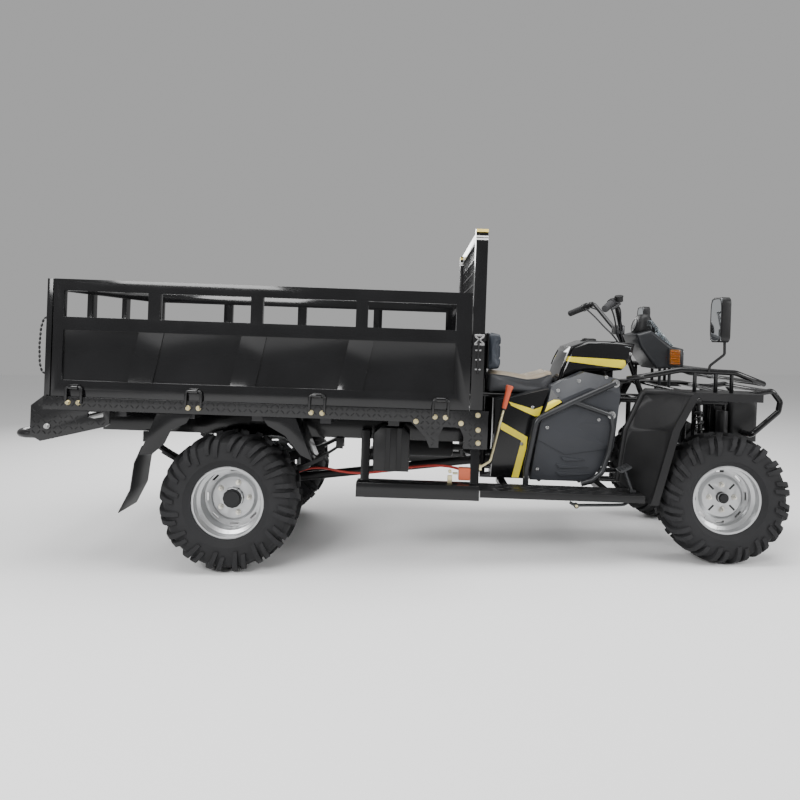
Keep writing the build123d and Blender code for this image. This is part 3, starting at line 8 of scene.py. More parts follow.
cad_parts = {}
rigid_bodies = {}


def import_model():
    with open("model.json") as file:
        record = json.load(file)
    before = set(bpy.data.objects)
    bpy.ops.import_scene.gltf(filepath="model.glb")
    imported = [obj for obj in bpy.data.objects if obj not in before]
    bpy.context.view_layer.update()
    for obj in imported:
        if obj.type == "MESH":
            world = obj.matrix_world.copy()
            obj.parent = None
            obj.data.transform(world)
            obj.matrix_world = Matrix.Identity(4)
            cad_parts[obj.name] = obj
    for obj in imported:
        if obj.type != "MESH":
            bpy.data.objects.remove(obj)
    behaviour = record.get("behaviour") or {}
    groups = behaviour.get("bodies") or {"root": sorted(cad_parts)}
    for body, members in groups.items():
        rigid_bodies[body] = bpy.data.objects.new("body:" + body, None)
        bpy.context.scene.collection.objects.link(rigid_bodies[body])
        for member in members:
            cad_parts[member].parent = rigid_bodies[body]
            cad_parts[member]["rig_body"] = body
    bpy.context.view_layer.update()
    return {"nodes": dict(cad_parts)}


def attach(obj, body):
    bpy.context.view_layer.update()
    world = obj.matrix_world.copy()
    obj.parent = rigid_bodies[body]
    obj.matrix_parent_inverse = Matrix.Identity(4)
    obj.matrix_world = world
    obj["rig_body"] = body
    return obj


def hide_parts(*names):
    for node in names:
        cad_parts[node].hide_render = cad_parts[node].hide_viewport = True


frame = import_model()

# Camera, floor and studio light. The camera stands level beside the vehicle's
# right side, a little ahead of the rear axle, with a lens shift that frames the
# vehicle as the photograph does. The floor and the lamps aren't part of it.
scene = bpy.context.scene
rear_axle_x = -0.85792
camera_ahead, camera_away, camera_height = 0.861, 3.557, 1.080
world_strength = 0.42
floor_half = 14.0
viewer = bpy.data.cameras.new("viewer")
viewer.lens = 29.84
viewer.sensor_width = 36.0
viewer.shift_x = -0.0225
viewer.shift_y = -0.0825
viewer_stand = bpy.data.objects.new("viewer", viewer)
viewer_stand.location = (rear_axle_x + camera_ahead, -camera_away, camera_height)
viewer_stand.rotation_euler = (math.radians(90), 0, 0)
scene.collection.objects.link(viewer_stand)
scene.camera = viewer_stand

studio = bpy.data.worlds.new("studio")
studio.use_nodes = True
sky = studio.node_tree.nodes["Background"]
sky.inputs["Color"].default_value = (1.0, 1.0, 1.0, 1)
sky.inputs["Strength"].default_value = world_strength
scene.world = studio

for name, place, aim, width, height, power in (
    ("overhead", (0.2, -0.6, 4.2), (0.0, 0.0, 0.6), 5.0, 2.4, 230.0),
    ("key", (-2.6, -4.4, 3.0), (0.0, 0.0, 0.7), 2.6, 1.6, 230.0),
    ("front", (4.6, -2.6, 2.4), (0.8, 0.0, 0.6), 2.0, 1.6, 150.0),
    ("back", (-1.5, 4.2, 2.8), (0.0, 0.0, 0.7), 4.0, 1.6, 170.0),
):
    lamp = bpy.data.lights.new(name, "AREA")
    lamp.shape = "RECTANGLE"
    lamp.size, lamp.size_y, lamp.energy = width, height, power
    lamp_stand = bpy.data.objects.new(name, lamp)
    lamp_stand.location = place
    aim_way = Vector(aim) - Vector(place)
    lamp_stand.rotation_euler = aim_way.to_track_quat("-Z", "Y").to_euler()
    scene.collection.objects.link(lamp_stand)

floor_mesh = bmesh.new()
bmesh.ops.create_grid(floor_mesh, x_segments=1, y_segments=1, size=floor_half)
floor_data = bpy.data.meshes.new("floor")
floor_mesh.to_mesh(floor_data)
floor_mesh.free()
floor = bpy.data.objects.new("floor", floor_data)
scene.collection.objects.link(floor)
paper = bpy.data.materials.new("floor_paper")
paper.use_nodes = True
paper_shader = paper.node_tree.nodes["Principled BSDF"]
paper_shader.inputs["Base Color"].default_value = (0.92, 0.92, 0.92, 1)
paper_shader.inputs["Roughness"].default_value = 0.9
floor_data.materials.append(paper)

# Frame rails, cradle, axle and springs: welded steel tube and box in gloss black
# enamel with a faint orange peel, and satin cast arms, knuckles and rods. Edges
# are eased as the mill leaves them.
nose_down = math.radians(2.03)
body_place = (
    Matrix.Translation((rear_axle_x, 0, 0))
    @ Matrix.Rotation(nose_down, 4, "Y")
    @ Matrix.Scale(0.001, 4)
)
upright_place = Matrix.Translation((rear_axle_x, 0, 0)) @ Matrix.Scale(0.001, 4)
crease_degrees = 32.0


def sprayed(
    name, colour, gloss, peel_size=300.0, peel=0.15, clear=0.0, metal=0.0, mottle=0.25, shine=0.5,
):
    """A paint or plastic whose tone, gloss and skin vary over the piece."""
    finish = bpy.data.materials.new(name)
    finish.use_nodes = True
    nodes, links = finish.node_tree.nodes, finish.node_tree.links
    shader = nodes["Principled BSDF"]
    shader.inputs["Metallic"].default_value = metal
    shader.inputs["Coat Weight"].default_value = clear
    shader.inputs["Specular IOR Level"].default_value = shine
    shader.inputs["Coat Roughness"].default_value = 0.06
    place = nodes.new("ShaderNodeTexCoord")
    cloud = nodes.new("ShaderNodeTexNoise")
    cloud.inputs["Scale"].default_value = 5.0
    cloud.inputs["Detail"].default_value = 5.0
    links.new(place.outputs["Object"], cloud.inputs["Vector"])
    tone = nodes.new("ShaderNodeValToRGB")
    tone.color_ramp.elements[0].position = 0.3
    tone.color_ramp.elements[0].color = (*[c * (1 - mottle) for c in colour], 1)
    tone.color_ramp.elements[1].position = 0.7
    tone.color_ramp.elements[1].color = (*[min(c * (1 + mottle), 1) for c in colour], 1)
    links.new(cloud.outputs["Fac"], tone.inputs["Fac"])
    links.new(tone.outputs["Color"], shader.inputs["Base Color"])
    sheen = nodes.new("ShaderNodeMapRange")
    sheen.inputs["To Min"].default_value = gloss * 0.8
    sheen.inputs["To Max"].default_value = min(gloss * 1.3, 1.0)
    links.new(cloud.outputs["Fac"], sheen.inputs["Value"])
    links.new(sheen.outputs["Result"], shader.inputs["Roughness"])
    skin = nodes.new("ShaderNodeTexNoise")
    skin.inputs["Scale"].default_value = peel_size
    skin.inputs["Detail"].default_value = 3.0
    links.new(place.outputs["Object"], skin.inputs["Vector"])
    bump = nodes.new("ShaderNodeBump")
    bump.inputs["Strength"].default_value = peel
    bump.inputs["Distance"].default_value = 0.001
    links.new(skin.outputs["Fac"], bump.inputs["Height"])
    links.new(bump.outputs["Normal"], shader.inputs["Normal"])
    return finish


def finished(name, mesh, finish, rider, place=body_place, crease=crease_degrees):
    """A piece drawn in mm ahead of the rear axle and up, stood in place on its body."""
    bmesh.ops.transform(mesh, matrix=place, verts=mesh.verts)
    bmesh.ops.remove_doubles(mesh, verts=mesh.verts, dist=0.00001)
    bmesh.ops.recalc_face_normals(mesh, faces=mesh.faces)
    data = bpy.data.meshes.new(name)
    mesh.to_mesh(data)
    mesh.free()
    data.shade_smooth()
    data.set_sharp_from_angle(angle=math.radians(crease))
    data.materials.append(finish)
    piece = bpy.data.objects.new(name, data)
    scene.collection.objects.link(piece)
    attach(piece, rider)
    return piece


def eased(node_name, finish, ease=2.0, segments=2):
    """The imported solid, welded, with its sharp edges rounded."""
    node = frame["nodes"][node_name]
    mesh = bmesh.new()
    mesh.from_mesh(node.data)
    bmesh.ops.remove_doubles(mesh, verts=mesh.verts, dist=0.00002)
    flat = math.radians(0.6)
    bmesh.ops.dissolve_limit(mesh, angle_limit=flat, verts=mesh.verts, edges=mesh.edges)
    if ease:
        crease = math.radians(crease_degrees)
        sharp = [
            edge for edge in mesh.edges
            if len(edge.link_faces) == 2 and edge.calc_face_angle(0.0) > crease
        ]
        bmesh.ops.bevel(
            mesh, geom=sharp, offset=ease / 1000, offset_type="OFFSET", segments=segments,
            profile=0.5, affect="EDGES", material=-1, clamp_overlap=True,
        )
    piece = finished(
        f"{node_name}_skin", mesh, finish, node["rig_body"], place=Matrix.Identity(4),
    )
    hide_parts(node_name)
    return piece


gloss_black = sprayed(
    "gloss_black", (0.006, 0.006, 0.0065), 0.18, 160.0, 0.06, clear=0.12, shine=0.3,
)
satin_black = sprayed("satin_black", (0.009, 0.009, 0.0095), 0.38, 420.0, 0.2, shine=0.3)
cast_grey = sprayed("cast_grey", (0.12, 0.12, 0.125), 0.45, 300.0, 0.5, metal=0.7)
for node_name in ("chassis_frame", "lower_beams", "cradle", "mudguards", "steering_column"):
    eased(node_name, gloss_black, 1.5)
for node_name in (
    "front_arms", "rear_axle", "drive_shaft", "leaf_springs", "knuckle_left",
    "knuckle_right", "tie_rod_left", "tie_rod_right",
):
    eased(node_name, satin_black, 0.8)

# Cargo bed edges: folded tread plate in black enamel. Raised lozenges cross the
# plate, zinc flange bolts hold the hinge loops and gussets, and the rear step
# plates carry the bumper tube.
skirt_face = 600.0
lozenge_pitch = 24.0
lozenge_long, lozenge_wide, lozenge_rise = 20.0, 6.5, 1.9
plate_fields = {
    "deck_edges": [
        (-837, 772), (1146, 772), (1146, 608), (1044, 608), (1044, 662), (1024, 702),
        (948, 702), (928, 662), (928, 608), (893, 608), (872, 654), (806, 719), (-837, 719),
    ],
    "rear_bumper": [
        (-842, 770), (-889, 730), (-890, 604), (-846, 577), (-562, 650), (-543, 663),
        (-543, 683), (-640, 683), (-640, 714), (-842, 714),
    ],
}
bolt_places = [
    (-727, 750), (-680, 750), (-191, 744), (-144, 744), (358, 743), (407, 742), (911, 743),
    (958, 742), (827, 720), (1028, 718), (1102, 757), (1105, 691), (1107, 633),
]


def holds(field, u, w):
    """Whether a point lies inside a closed side-view outline."""
    inside = False
    for (u1, w1), (u2, w2) in zip(field, field[1:] + field[:1]):
        if (w1 > w) != (w2 > w) and u < (u2 - u1) * (w - w1) / (w2 - w1) + u1:
            inside = not inside
    return inside


def lozenges(mesh, field, side):
    """Raised lozenges at alternate slants over one side's upright plate."""
    low_u, high_u = min(u for u, w in field), max(u for u, w in field)
    low_w, high_w = min(w for u, w in field), max(w for u, w in field)
    reach = lozenge_long * 0.36
    for column in range(int((high_u - low_u) / lozenge_pitch) + 1):
        for row in range(int((high_w - low_w) / lozenge_pitch) + 1):
            u = low_u + (column + 0.5) * lozenge_pitch
            w = low_w + (row + 0.5) * lozenge_pitch
            ends = [(u + s * reach, w + t * reach) for s in (-1, 1) for t in (-1, 1)]
            if not all(holds(field, *end) for end in ends):
                continue
            lump = bmesh.ops.create_cube(mesh, size=1.0)["verts"]
            for corner in lump:
                outside = corner.co.y * side > 0
                corner.co.x *= lozenge_long * (0.8 if outside else 1.0)
                corner.co.z *= lozenge_wide * (0.45 if outside else 1.0)
                corner.co.y *= lozenge_rise * 2
            slant = Matrix.Rotation(math.radians(45 if (column + row) % 2 else -45), 3, "Y")
            bmesh.ops.rotate(mesh, verts=lump, cent=(0, 0, 0), matrix=slant)
            bmesh.ops.translate(mesh, verts=lump, vec=(u, side * skirt_face, w))


def faced_disc(mesh, radius, taper, depth, corners, spot, side):
    """A tapered disc or hex head standing out of an upright face at spot."""
    disc = bmesh.ops.create_cone(
        mesh, cap_ends=True, segments=corners, radius1=radius, radius2=radius * taper,
        depth=depth,
    )["verts"]
    outwards = Matrix.Rotation(math.radians(-90 * side), 3, "X")
    bmesh.ops.rotate(mesh, verts=disc, cent=(0, 0, 0), matrix=outwards)
    bmesh.ops.translate(mesh, verts=disc, vec=(spot[0], spot[1] + side * depth / 2, spot[2]))


def flange_bolts(mesh, places, side, size=9.0):
    """Hex heads on wide flanges, standing out of the skirt's face."""
    for u, w in places:
        for radius, depth, corners in (
            (size * 1.35, size * 0.35, 20), (size * 1.15, size * 0.6, 20), (size, size * 1.3, 6),
        ):
            faced_disc(mesh, radius, 0.93, depth, corners, (u, side * skirt_face, w), side)


zinc = sprayed("yellow_zinc", (0.62, 0.55, 0.33), 0.3, 300.0, 0.2, metal=0.85)
tread_black = sprayed(
    "tread_black", (0.007, 0.007, 0.0075), 0.26, 90.0, 0.1, clear=0.1, shine=0.35,
)
floor_black = sprayed("floor_black", (0.010, 0.010, 0.011), 0.34, 60.0, 0.15, shine=0.3)
eased("bed_floor", floor_black, 1.0)
for node_name, field in plate_fields.items():
    eased(node_name, tread_black, 1.2)
    studs = bmesh.new()
    for side in (-1, 1):
        lozenges(studs, field, side)
    finished(f"{node_name}_lozenges", studs, tread_black, "body")
bolts = bmesh.new()
for side in (-1, 1):
    flange_bolts(bolts, bolt_places, side)
finished("bed_bolts", bolts, zinc, "body")

# Drop sides and tailgate: a tube frame round a pressed sheet with slanted ribs,
# in deep gloss black, with rolled edges.
panel_black = sprayed(
    "panel_black", (0.0055, 0.0055, 0.006), 0.11, 14.0, 0.25, clear=0.15, shine=0.35,
)
for node_name in ("side_panel_left", "side_panel_right", "tailgate"):
    eased(node_name, panel_black, 3.0, 3)

# Headboard: two posts with rounded tops, a flat wall and a barred window, with
# white and yellow reflective bands stuck round the posts.
post_u, post_y, band_wide = 1095.0, 563.0, 54.8


def block(mesh, size, centre, slant=0.0):
    """A plain plate or bar of a size, slanted by degrees in the side view."""
    corners = bmesh.ops.create_cube(mesh, size=1.0)["verts"]
    bmesh.ops.scale(mesh, verts=corners, vec=size)
    turn = Matrix.Rotation(math.radians(slant), 3, "Y")
    bmesh.ops.rotate(mesh, verts=corners, cent=(0, 0, 0), matrix=turn)
    bmesh.ops.translate(mesh, verts=corners, vec=centre)


eased("headboard", gloss_black, 2.0)
for tint, colour, levels in (
    ("yellow", (0.80, 0.62, 0.16), ((1577, 1590),)),
    ("white", (0.78, 0.78, 0.76), ((1553, 1560), (1541, 1549))),
):
    band_finish = sprayed(f"band_{tint}", colour, 0.25, 500.0, 0.1)
    bands = bmesh.new()
    for low, high in levels:
        for side in (-1, 1):
            middle = (post_u, side * post_y, (low + high) / 2)
            block(bands, (band_wide, band_wide, high - low), middle)
    finished(f"bands_{tint}", bands, band_finish, "body")

# Latches of the drop sides: a bright keeper of crossed straps and a pull rod in
# clips on each headboard post, and a ribbed pull handle at each end of the
# tailgate. The rear step's bolts are in the keepers' bright steel.
keeper_u, keeper_y, keeper_w = 1098.0, 593.0, 1093.0
keeper_half_height = 20.0
rod_u, rod_y, rod_w = 1094.0, 597.0, 1015.0
clip_levels = (1046.0, 1004.0, 960.0)
handle_y, handle_radius, link_pitch = 574.0, 5.0, 18.0
handle_bends = (
    (-843, 1128), (-862, 1120), (-873, 1080), (-878, 1000), (-874, 920), (-862, 880), (-843, 872),
)
keepers = bmesh.new()
rods = bmesh.new()
for side in (-1, 1):
    for level in (keeper_w + keeper_half_height, keeper_w - keeper_half_height):
        block(keepers, (46, 5, 9), (keeper_u, side * keeper_y, level))
    for slant in (-38, 38):
        block(keepers, (50, 4, 7), (keeper_u, side * (keeper_y + 1), keeper_w), slant)
    for level in clip_levels:
        block(keepers, (26, 5, 6), (rod_u, side * (rod_y - 1), level))
    bar = bmesh.ops.create_cone(
        rods, cap_ends=True, segments=16, radius1=5.0, radius2=5.0, depth=150.0,
    )["verts"]
    bmesh.ops.translate(rods, verts=bar, vec=(rod_u, side * rod_y, rod_w))
bmesh.ops.bevel(
    keepers, geom=keepers.edges[:], offset=1.0, segments=1, profile=0.5, affect="EDGES",
    material=-1,
)
keeper_steel = sprayed("keeper_steel", (0.45, 0.45, 0.45), 0.3, 300.0, 0.2, metal=0.85)
finished("latch_keepers", keepers, keeper_steel, "body")
finished("latch_rods", rods, satin_black, "body")
step_bolts = bmesh.new()
for side in (-1, 1):
    flange_bolts(step_bolts, [(-817, 641)], side, 10.0)
finished("step_bolts", step_bolts, keeper_steel, "body")
handles = bmesh.new()
for side in (-1, 1):
    for (u1, w1), (u2, w2) in zip(handle_bends, handle_bends[1:]):
        start = Vector((u1, side * handle_y, w1))
        way = Vector((u2, side * handle_y, w2)) - start
        lie = way.to_track_quat("Z", "Y").to_matrix()
        link_count = max(1, round(way.length / link_pitch))
        for number in range(link_count):
            link = bmesh.ops.create_uvsphere(
                handles, u_segments=10, v_segments=6, radius=handle_radius,
            )["verts"]
            bmesh.ops.scale(handles, verts=link, vec=(1, 1, 1.9))
            bmesh.ops.rotate(handles, verts=link, cent=(0, 0, 0), matrix=lie)
            spot = start + way * (number + 0.5) / link_count
            bmesh.ops.translate(handles, verts=link, vec=spot)
finished("gate_handles", handles, satin_black, "rear_gate")

# Wheels: low-pressure tyres with angled block lugs that run over the shoulder,
# moulded in one with the carcass, on stepped rims of silver-painted steel. A
# black cap and plated nuts hold each one to its hub.
lug_rise = 17.0
lug_pitches = 16
nut_size = 10.5
slot_long, slot_wide, slot_ring = 34.0, 9.0, 70.0
rubber = sprayed("tyre_rubber", (0.013, 0.013, 0.014), 0.72, 700.0, 0.5, mottle=0.35, shine=0.3)
wheel_silver = sprayed(
    "wheel_silver", (0.44, 0.445, 0.45), 0.32, 260.0, 0.15, clear=0.2, metal=0.75, mottle=0.06,
)
cap_black_and_slot_shade = sprayed("cap_black_and_slot_shade", (0.008, 0.008, 0.009), 0.4, 400.0, 0.3, shine=0.3)
nut_steel = sprayed("nut_steel", (0.60, 0.58, 0.52), 0.3, 300.0, 0.2, metal=0.85)


def tread_line(radius, half):
    """Section of the carcass from the crown's middle to the bead: (y, r)."""
    base = radius - lug_rise
    return [
        (0.0, base), (half * 0.50, base - 3), (half * 0.74, base - 10),
        (half * 0.89, base - 25), (half * 0.955, base - 48), (half * 0.975, base - 78),
        (half * 0.95, base - 104),
    ]


def on_line(line, length, rise):
    """(y, r) at a length along a section line and a rise off it."""
    walked = 0.0
    for (y1, r1), (y2, r2) in zip(line, line[1:]):
        step = math.hypot(y2 - y1, r2 - r1)
        if length <= walked + step or (y2, r2) == line[-1]:
            share = (length - walked) / step
            way_y, way_r = (y2 - y1) / step, (r2 - r1) / step
            return (
                y1 + (y2 - y1) * share - way_r * rise, r1 + (r2 - r1) * share + way_y * rise,
            )
        walked += step


def lug_shape(start, end, wide, skew, rise):
    """One block lug laid flat: along x, across y from start to end, up z."""
    mesh = bmesh.new()
    corners = bmesh.ops.create_cube(mesh, size=1.0)["verts"]
    bmesh.ops.translate(mesh, verts=corners, vec=(0, 0.5, 0.5))
    lengthways = [
        edge for edge in mesh.edges
        if abs(edge.verts[0].co.y - edge.verts[1].co.y) > 0.5
    ]
    bmesh.ops.subdivide_edges(mesh, edges=lengthways, cuts=7, use_grid_fill=True)
    for corner in mesh.verts:
        along = corner.co.y
        narrow = 1.0 - 0.22 * corner.co.z
        corner.co.x = corner.co.x * wide * narrow + skew * along ** 0.8
        fall = 1.0 - 0.55 * max(0.0, (along - 0.62) / 0.38) ** 1.4
        corner.co.y = start + (end - start) * along
        corner.co.z = -3.0 + (rise + 3.0) * corner.co.z * fall
    data = bpy.data.meshes.new("lug")
    mesh.to_mesh(data)
    mesh.free()
    return data


def block_tyre(node_name, centre, radius, width, rim, rider):
    """Carcass spun round the axle, with two rows of wrapped lugs a side."""
    half = width / 2
    line = tread_line(radius, half)
    shape = bmesh.new()
    bead = [(half * 0.83, rim + 10), (half * 0.80, rim + 1), (half * 0.72, rim + 0.5)]
    outline = line + bead
    points = [shape.verts.new((r, y, 0)) for y, r in reversed(outline)]
    points += [shape.verts.new((r, -y, 0)) for y, r in outline[1:]]
    ring = [shape.edges.new(pair) for pair in zip(points, points[1:] + points[:1])]
    bmesh.ops.spin(
        shape, geom=points + ring, axis=(0, 1, 0), cent=(0, 0, 0), angle=math.tau, steps=72,
        use_merge=True, use_duplicate=False,
    )
    lugs = [
        (lug_shape(5.0, half * 1.42, 33.0, 66.0, lug_rise), 0.0),
        (lug_shape(half * 0.62, half * 1.27, 30.0, 38.0, lug_rise), 0.58),
    ]
    for number in range(2 * lug_pitches):
        side = 1 if number % 2 else -1
        for pattern, shift in lugs:
            first = len(shape.verts)
            shape.from_mesh(pattern)
            shape.verts.ensure_lookup_table()
            turn = math.tau * (number / 2 + shift) / lug_pitches
            for corner in shape.verts[first:]:
                y, r = on_line(line, corner.co.y, corner.co.z)
                angle = turn + corner.co.x / radius
                corner.co = (r * math.cos(angle), side * y, r * math.sin(angle))
    for pattern, shift in lugs:
        bpy.data.meshes.remove(pattern)
    bmesh.ops.translate(shape, verts=shape.verts, vec=centre)
    tyre = finished(
        f"{node_name}_skin", shape, rubber, rider, place=upright_place, crease=28.0,
    )
    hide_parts(node_name)


def ring_of_nuts(mesh, centre, count, ring, side):
    """Domed hex nuts on plain washers round a hub, on its outer face."""
    for number in range(count):
        turn = math.tau * number / count
        spot = (centre[0] + ring * math.cos(turn), centre[1], centre[2] + ring * math.sin(turn))
        for radius, depth, corners in (
            (nut_size * 1.35, nut_size * 0.4, 18), (nut_size, nut_size * 1.5, 6),
            (nut_size * 0.55, nut_size * 2.3, 12),
        ):
            faced_disc(mesh, radius, 0.85, depth, corners, spot, side)


def ring_of_slot_shades(mesh, centre, count):
    """Painted shade: dark films on the disc's face between the nuts, standing in for the shadow
    inside short radial slots.
    """
    for number in range(count):
        turn = math.tau * (number + 0.5) / count
        spot = (
            centre[0] + slot_ring * math.cos(turn), centre[1],
            centre[2] - slot_ring * math.sin(turn),
        )
        block(mesh, (slot_long, 1.2, slot_wide), spot, math.degrees(turn))


for end, x, y, radius, width, rim, disc_y, cap, cap_corners, nut_count, nut_ring in (
    ("rear", 0.0, 470.0, 317.5, 254.0, 165.0, 460.0, 50.0, 12, 5, 72.6),
    ("front", 2302.0, 387.5, 305.0, 203.0, 160.0, 407.5, 27.0, 32, 4, 59.4),
):
    for hand, side in (("right", -1), ("left", 1)):
        rider = f"wheel_{end}_{hand}"
        block_tyre(f"tyre_{end}_{hand}", (x, side * y, radius), radius, width, rim, rider)
        eased(f"rim_{end}_{hand}", wheel_silver, 0.8)
        face = (x, side * disc_y, radius)
        if end == "front":
            # The front discs get dark films as painted shade of their pressed radial slots.
            slot_shade_films = bmesh.new()
            ring_of_slot_shades(slot_shade_films, face, nut_count)
            finished(f"disc_slot_painted_shade_{hand}", slot_shade_films, cap_black_and_slot_shade, rider, place=upright_place)
        nuts = bmesh.new()
        ring_of_nuts(nuts, face, nut_count, nut_ring, side)
        finished(f"nuts_{end}_{hand}", nuts, nut_steel, rider, place=upright_place)
        dome = bmesh.new()
        faced_disc(dome, cap, 0.9, 24.0, cap_corners, face, side)
        faced_disc(dome, cap * 0.78, 0.9, 30.0, 32, face, side)
        finished(f"hub_cap_{end}_{hand}", dome, cap_black_and_slot_shade, rider, place=upright_place)

# Engine, silencer, battery box and front shocks. The engine is a cast alloy block
# with fins and bolted side cases, the silencer a rolled can, and the battery box
# is strapped to the beams. Each shock is a damper inside a coil spring.
def turned(mesh, outline, centre, way, sides=24):
    """A turned shape: (place along the axis, radius) pairs spun and capped."""
    way = Vector(way).normalized()
    across = way.orthogonal().normalized()
    points = [
        mesh.verts.new(Vector(centre) + way * along + across * radius)
        for along, radius in outline
    ]
    line = [mesh.edges.new(pair) for pair in zip(points, points[1:])]
    bmesh.ops.spin(
        mesh, geom=points + line, cent=centre, axis=way, angle=math.tau, steps=sides,
        use_merge=True, use_duplicate=False,
    )
    rims = [edge for edge in mesh.edges if edge.is_boundary]
    bmesh.ops.edgeloop_fill(mesh, edges=rims)


def curved(points, cuts=6):
    """Points along a smooth curve through the given ones."""
    points = [Vector(point) for point in points]
    points = [points[0] * 2 - points[1], *points, points[-1] * 2 - points[-2]]
    path = []
    for a, b, c, d in zip(points, points[1:], points[2:], points[3:]):
        for number in range(cuts):
            t = number / cuts
            path.append(
                (b * 2 + (c - a) * t + (a * 2 - b * 5 + c * 4 - d) * t * t
                 + (b * 3 - a - c * 3 + d) * t ** 3) / 2
            )
    return [*path, points[-2]]


def skinned(mesh, rings):
    """Walls bridged from each ring of corners to the next, capped at both ends."""
    loops = [
        list(dict.fromkeys(edge for corner in ring for edge in corner.link_edges))
        for ring in rings
    ]
    for near, far in zip(loops, loops[1:]):
        bmesh.ops.bridge_loops(mesh, edges=near + far)
    for loop in (loops[0], loops[-1]):
        bmesh.ops.edgeloop_fill(mesh, edges=loop)


def swept(mesh, path, radius, sides=12):
    """A round bar along a path, its section carried without a twist."""
    path = [Vector(point) for point in path]
    across, rings = None, []
    for number, here in enumerate(path):
        ahead = path[min(number + 1, len(path) - 1)] - path[max(number - 1, 0)]
        ahead.normalize()
        across = ahead.orthogonal() if across is None else across - ahead * across.dot(ahead)
        across.normalize()
        stand = Matrix((across.cross(ahead), across, ahead)).transposed().to_4x4()
        rings.append(bmesh.ops.create_circle(
            mesh, segments=sides, radius=radius, matrix=Matrix.Translation(here) @ stand,
        )["verts"])
    skinned(mesh, rings)


def pressed(mesh, low, high, ease=2.0, segments=2):
    """A block between two corners with rounded edges."""
    corners = bmesh.ops.create_cube(mesh, size=1.0)["verts"]
    for corner in corners:
        corner.co = [(a + b) / 2 + (b - a) * c for a, b, c in zip(low, high, corner.co)]
    edges = list(dict.fromkeys(edge for corner in corners for edge in corner.link_edges))
    bmesh.ops.bevel(
        mesh, geom=edges, offset=ease, segments=segments, profile=0.5, affect="EDGES",
        material=-1,
    )


eased("engine", cast_grey, 8.0, 3)
engine_face = 139.0
fin_count, fin_pitch, fin_thick, lowest_fin = 9, 17.0, 5.0, 612.0
case_bolts = 6
castings = bmesh.new()
for side in (-1, 1):
    inner, outer = sorted((side * (engine_face - 1), side * (engine_face + 9)))
    for number in range(fin_count):
        level = lowest_fin + number * fin_pitch
        pressed(castings, (1430, inner, level), (1660, outer, level + fin_thick), 1.0, 1)
    for u, w, size in ((1470, 500, 62), (1628, 510, 74)):
        turned(
            castings, [(-4, size), (5, size), (8, size - 4), (8, size * 0.6), (10, size * 0.55)],
            (u, side * engine_face, w), (0, side, 0), 40,
        )
        for number in range(case_bolts):
            turn = math.tau * number / case_bolts
            ahead, up = (size - 9) * math.cos(turn), (size - 9) * math.sin(turn)
            spot = (u + ahead, side * (engine_face + 8), w + up)
            turned(castings, [(0, 5), (3, 5), (3.4, 4)], spot, (0, side, 0), 6)
finished("engine_castings", castings, cast_grey, "body")

can_black = sprayed("can_black", (0.018, 0.018, 0.019), 0.55, 500.0, 0.35, mottle=0.4, shine=0.3)
eased("exhaust", can_black, 1.2)
eased("battery_box", satin_black, 3.0, 2)
strap_wide = 22.0
straps = bmesh.new()
for strap_u in (690.0, 742.0):
    pressed(straps, (strap_u, -483.5, 470), (strap_u + strap_wide, -314, 670), 1.0, 1)
finished("battery_straps", straps, satin_black, "body")

shock_u = 2302.3
shock_foot_y, shock_foot_w = 222.3, 299.8
shock_head_y, shock_head_w = 143.3, 726.1
coil_turns, coil_steps, coil_radius, coil_wire = 9, 20, 20.5, 4.2
for side, hand in ((-1, "right"), (1, "left")):
    low = Vector((shock_u, side * shock_foot_y, shock_foot_w))
    high = Vector((shock_u, side * shock_head_y, shock_head_w))
    way = (high - low).normalized()
    length = (high - low).length
    damper = bmesh.new()
    turned(damper, [(10, 11), (length - 8, 11)], low, way, 20)
    turned(
        damper,
        [(length * 0.15, 17), (length * 0.17, 24), (length * 0.19, 24), (length * 0.2, 17),
         (length * 0.62, 17), (length * 0.64, 11.5)],
        low, way, 24,
    )
    turned(
        damper,
        [(length * 0.86, 17), (length * 0.865, 24), (length * 0.885, 24), (length * 0.9, 13)],
        low, way, 24,
    )
    for eye in (low, high):
        turned(damper, [(-15, 11), (-14, 14), (14, 14), (15, 11)], eye, (1, 0, 0), 20)
    damper_body = finished(f"damper_{hand}", damper, satin_black, "body", place=upright_place)
    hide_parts("shocks")
    across = way.orthogonal().normalized()
    up = way.cross(across)
    path = []
    for number in range(coil_turns * coil_steps + 1):
        turn = math.tau * number / coil_steps
        share = 0.195 + 0.665 * number / (coil_turns * coil_steps)
        out = across * math.cos(turn) + up * math.sin(turn)
        path.append(low + way * length * share + out * coil_radius)
    spring = bmesh.new()
    swept(spring, path, coil_wire, 8)
    finished(f"coil_{hand}", spring, gloss_black, "body", place=upright_place)

# Side covers: matt grey mouldings held by button screws, and gloss black rear
# covers behind them with yellow stripes. Satin guard tubes stand outside.
cover_grey = sprayed(
    "cover_grey", (0.026, 0.028, 0.033), 0.46, 900.0, 0.3, mottle=0.12, shine=0.35,
)
guard_grey = sprayed(
    "guard_grey", (0.030, 0.031, 0.033), 0.30, 500.0, 0.15, metal=0.35, shine=0.4,
)
stripe_yellow = sprayed("stripe_yellow", (0.80, 0.66, 0.035), 0.28, 600.0, 0.1, mottle=0.06)
screw_steel = sprayed("screw_steel", (0.30, 0.30, 0.30), 0.3, 300.0, 0.2, metal=0.85)


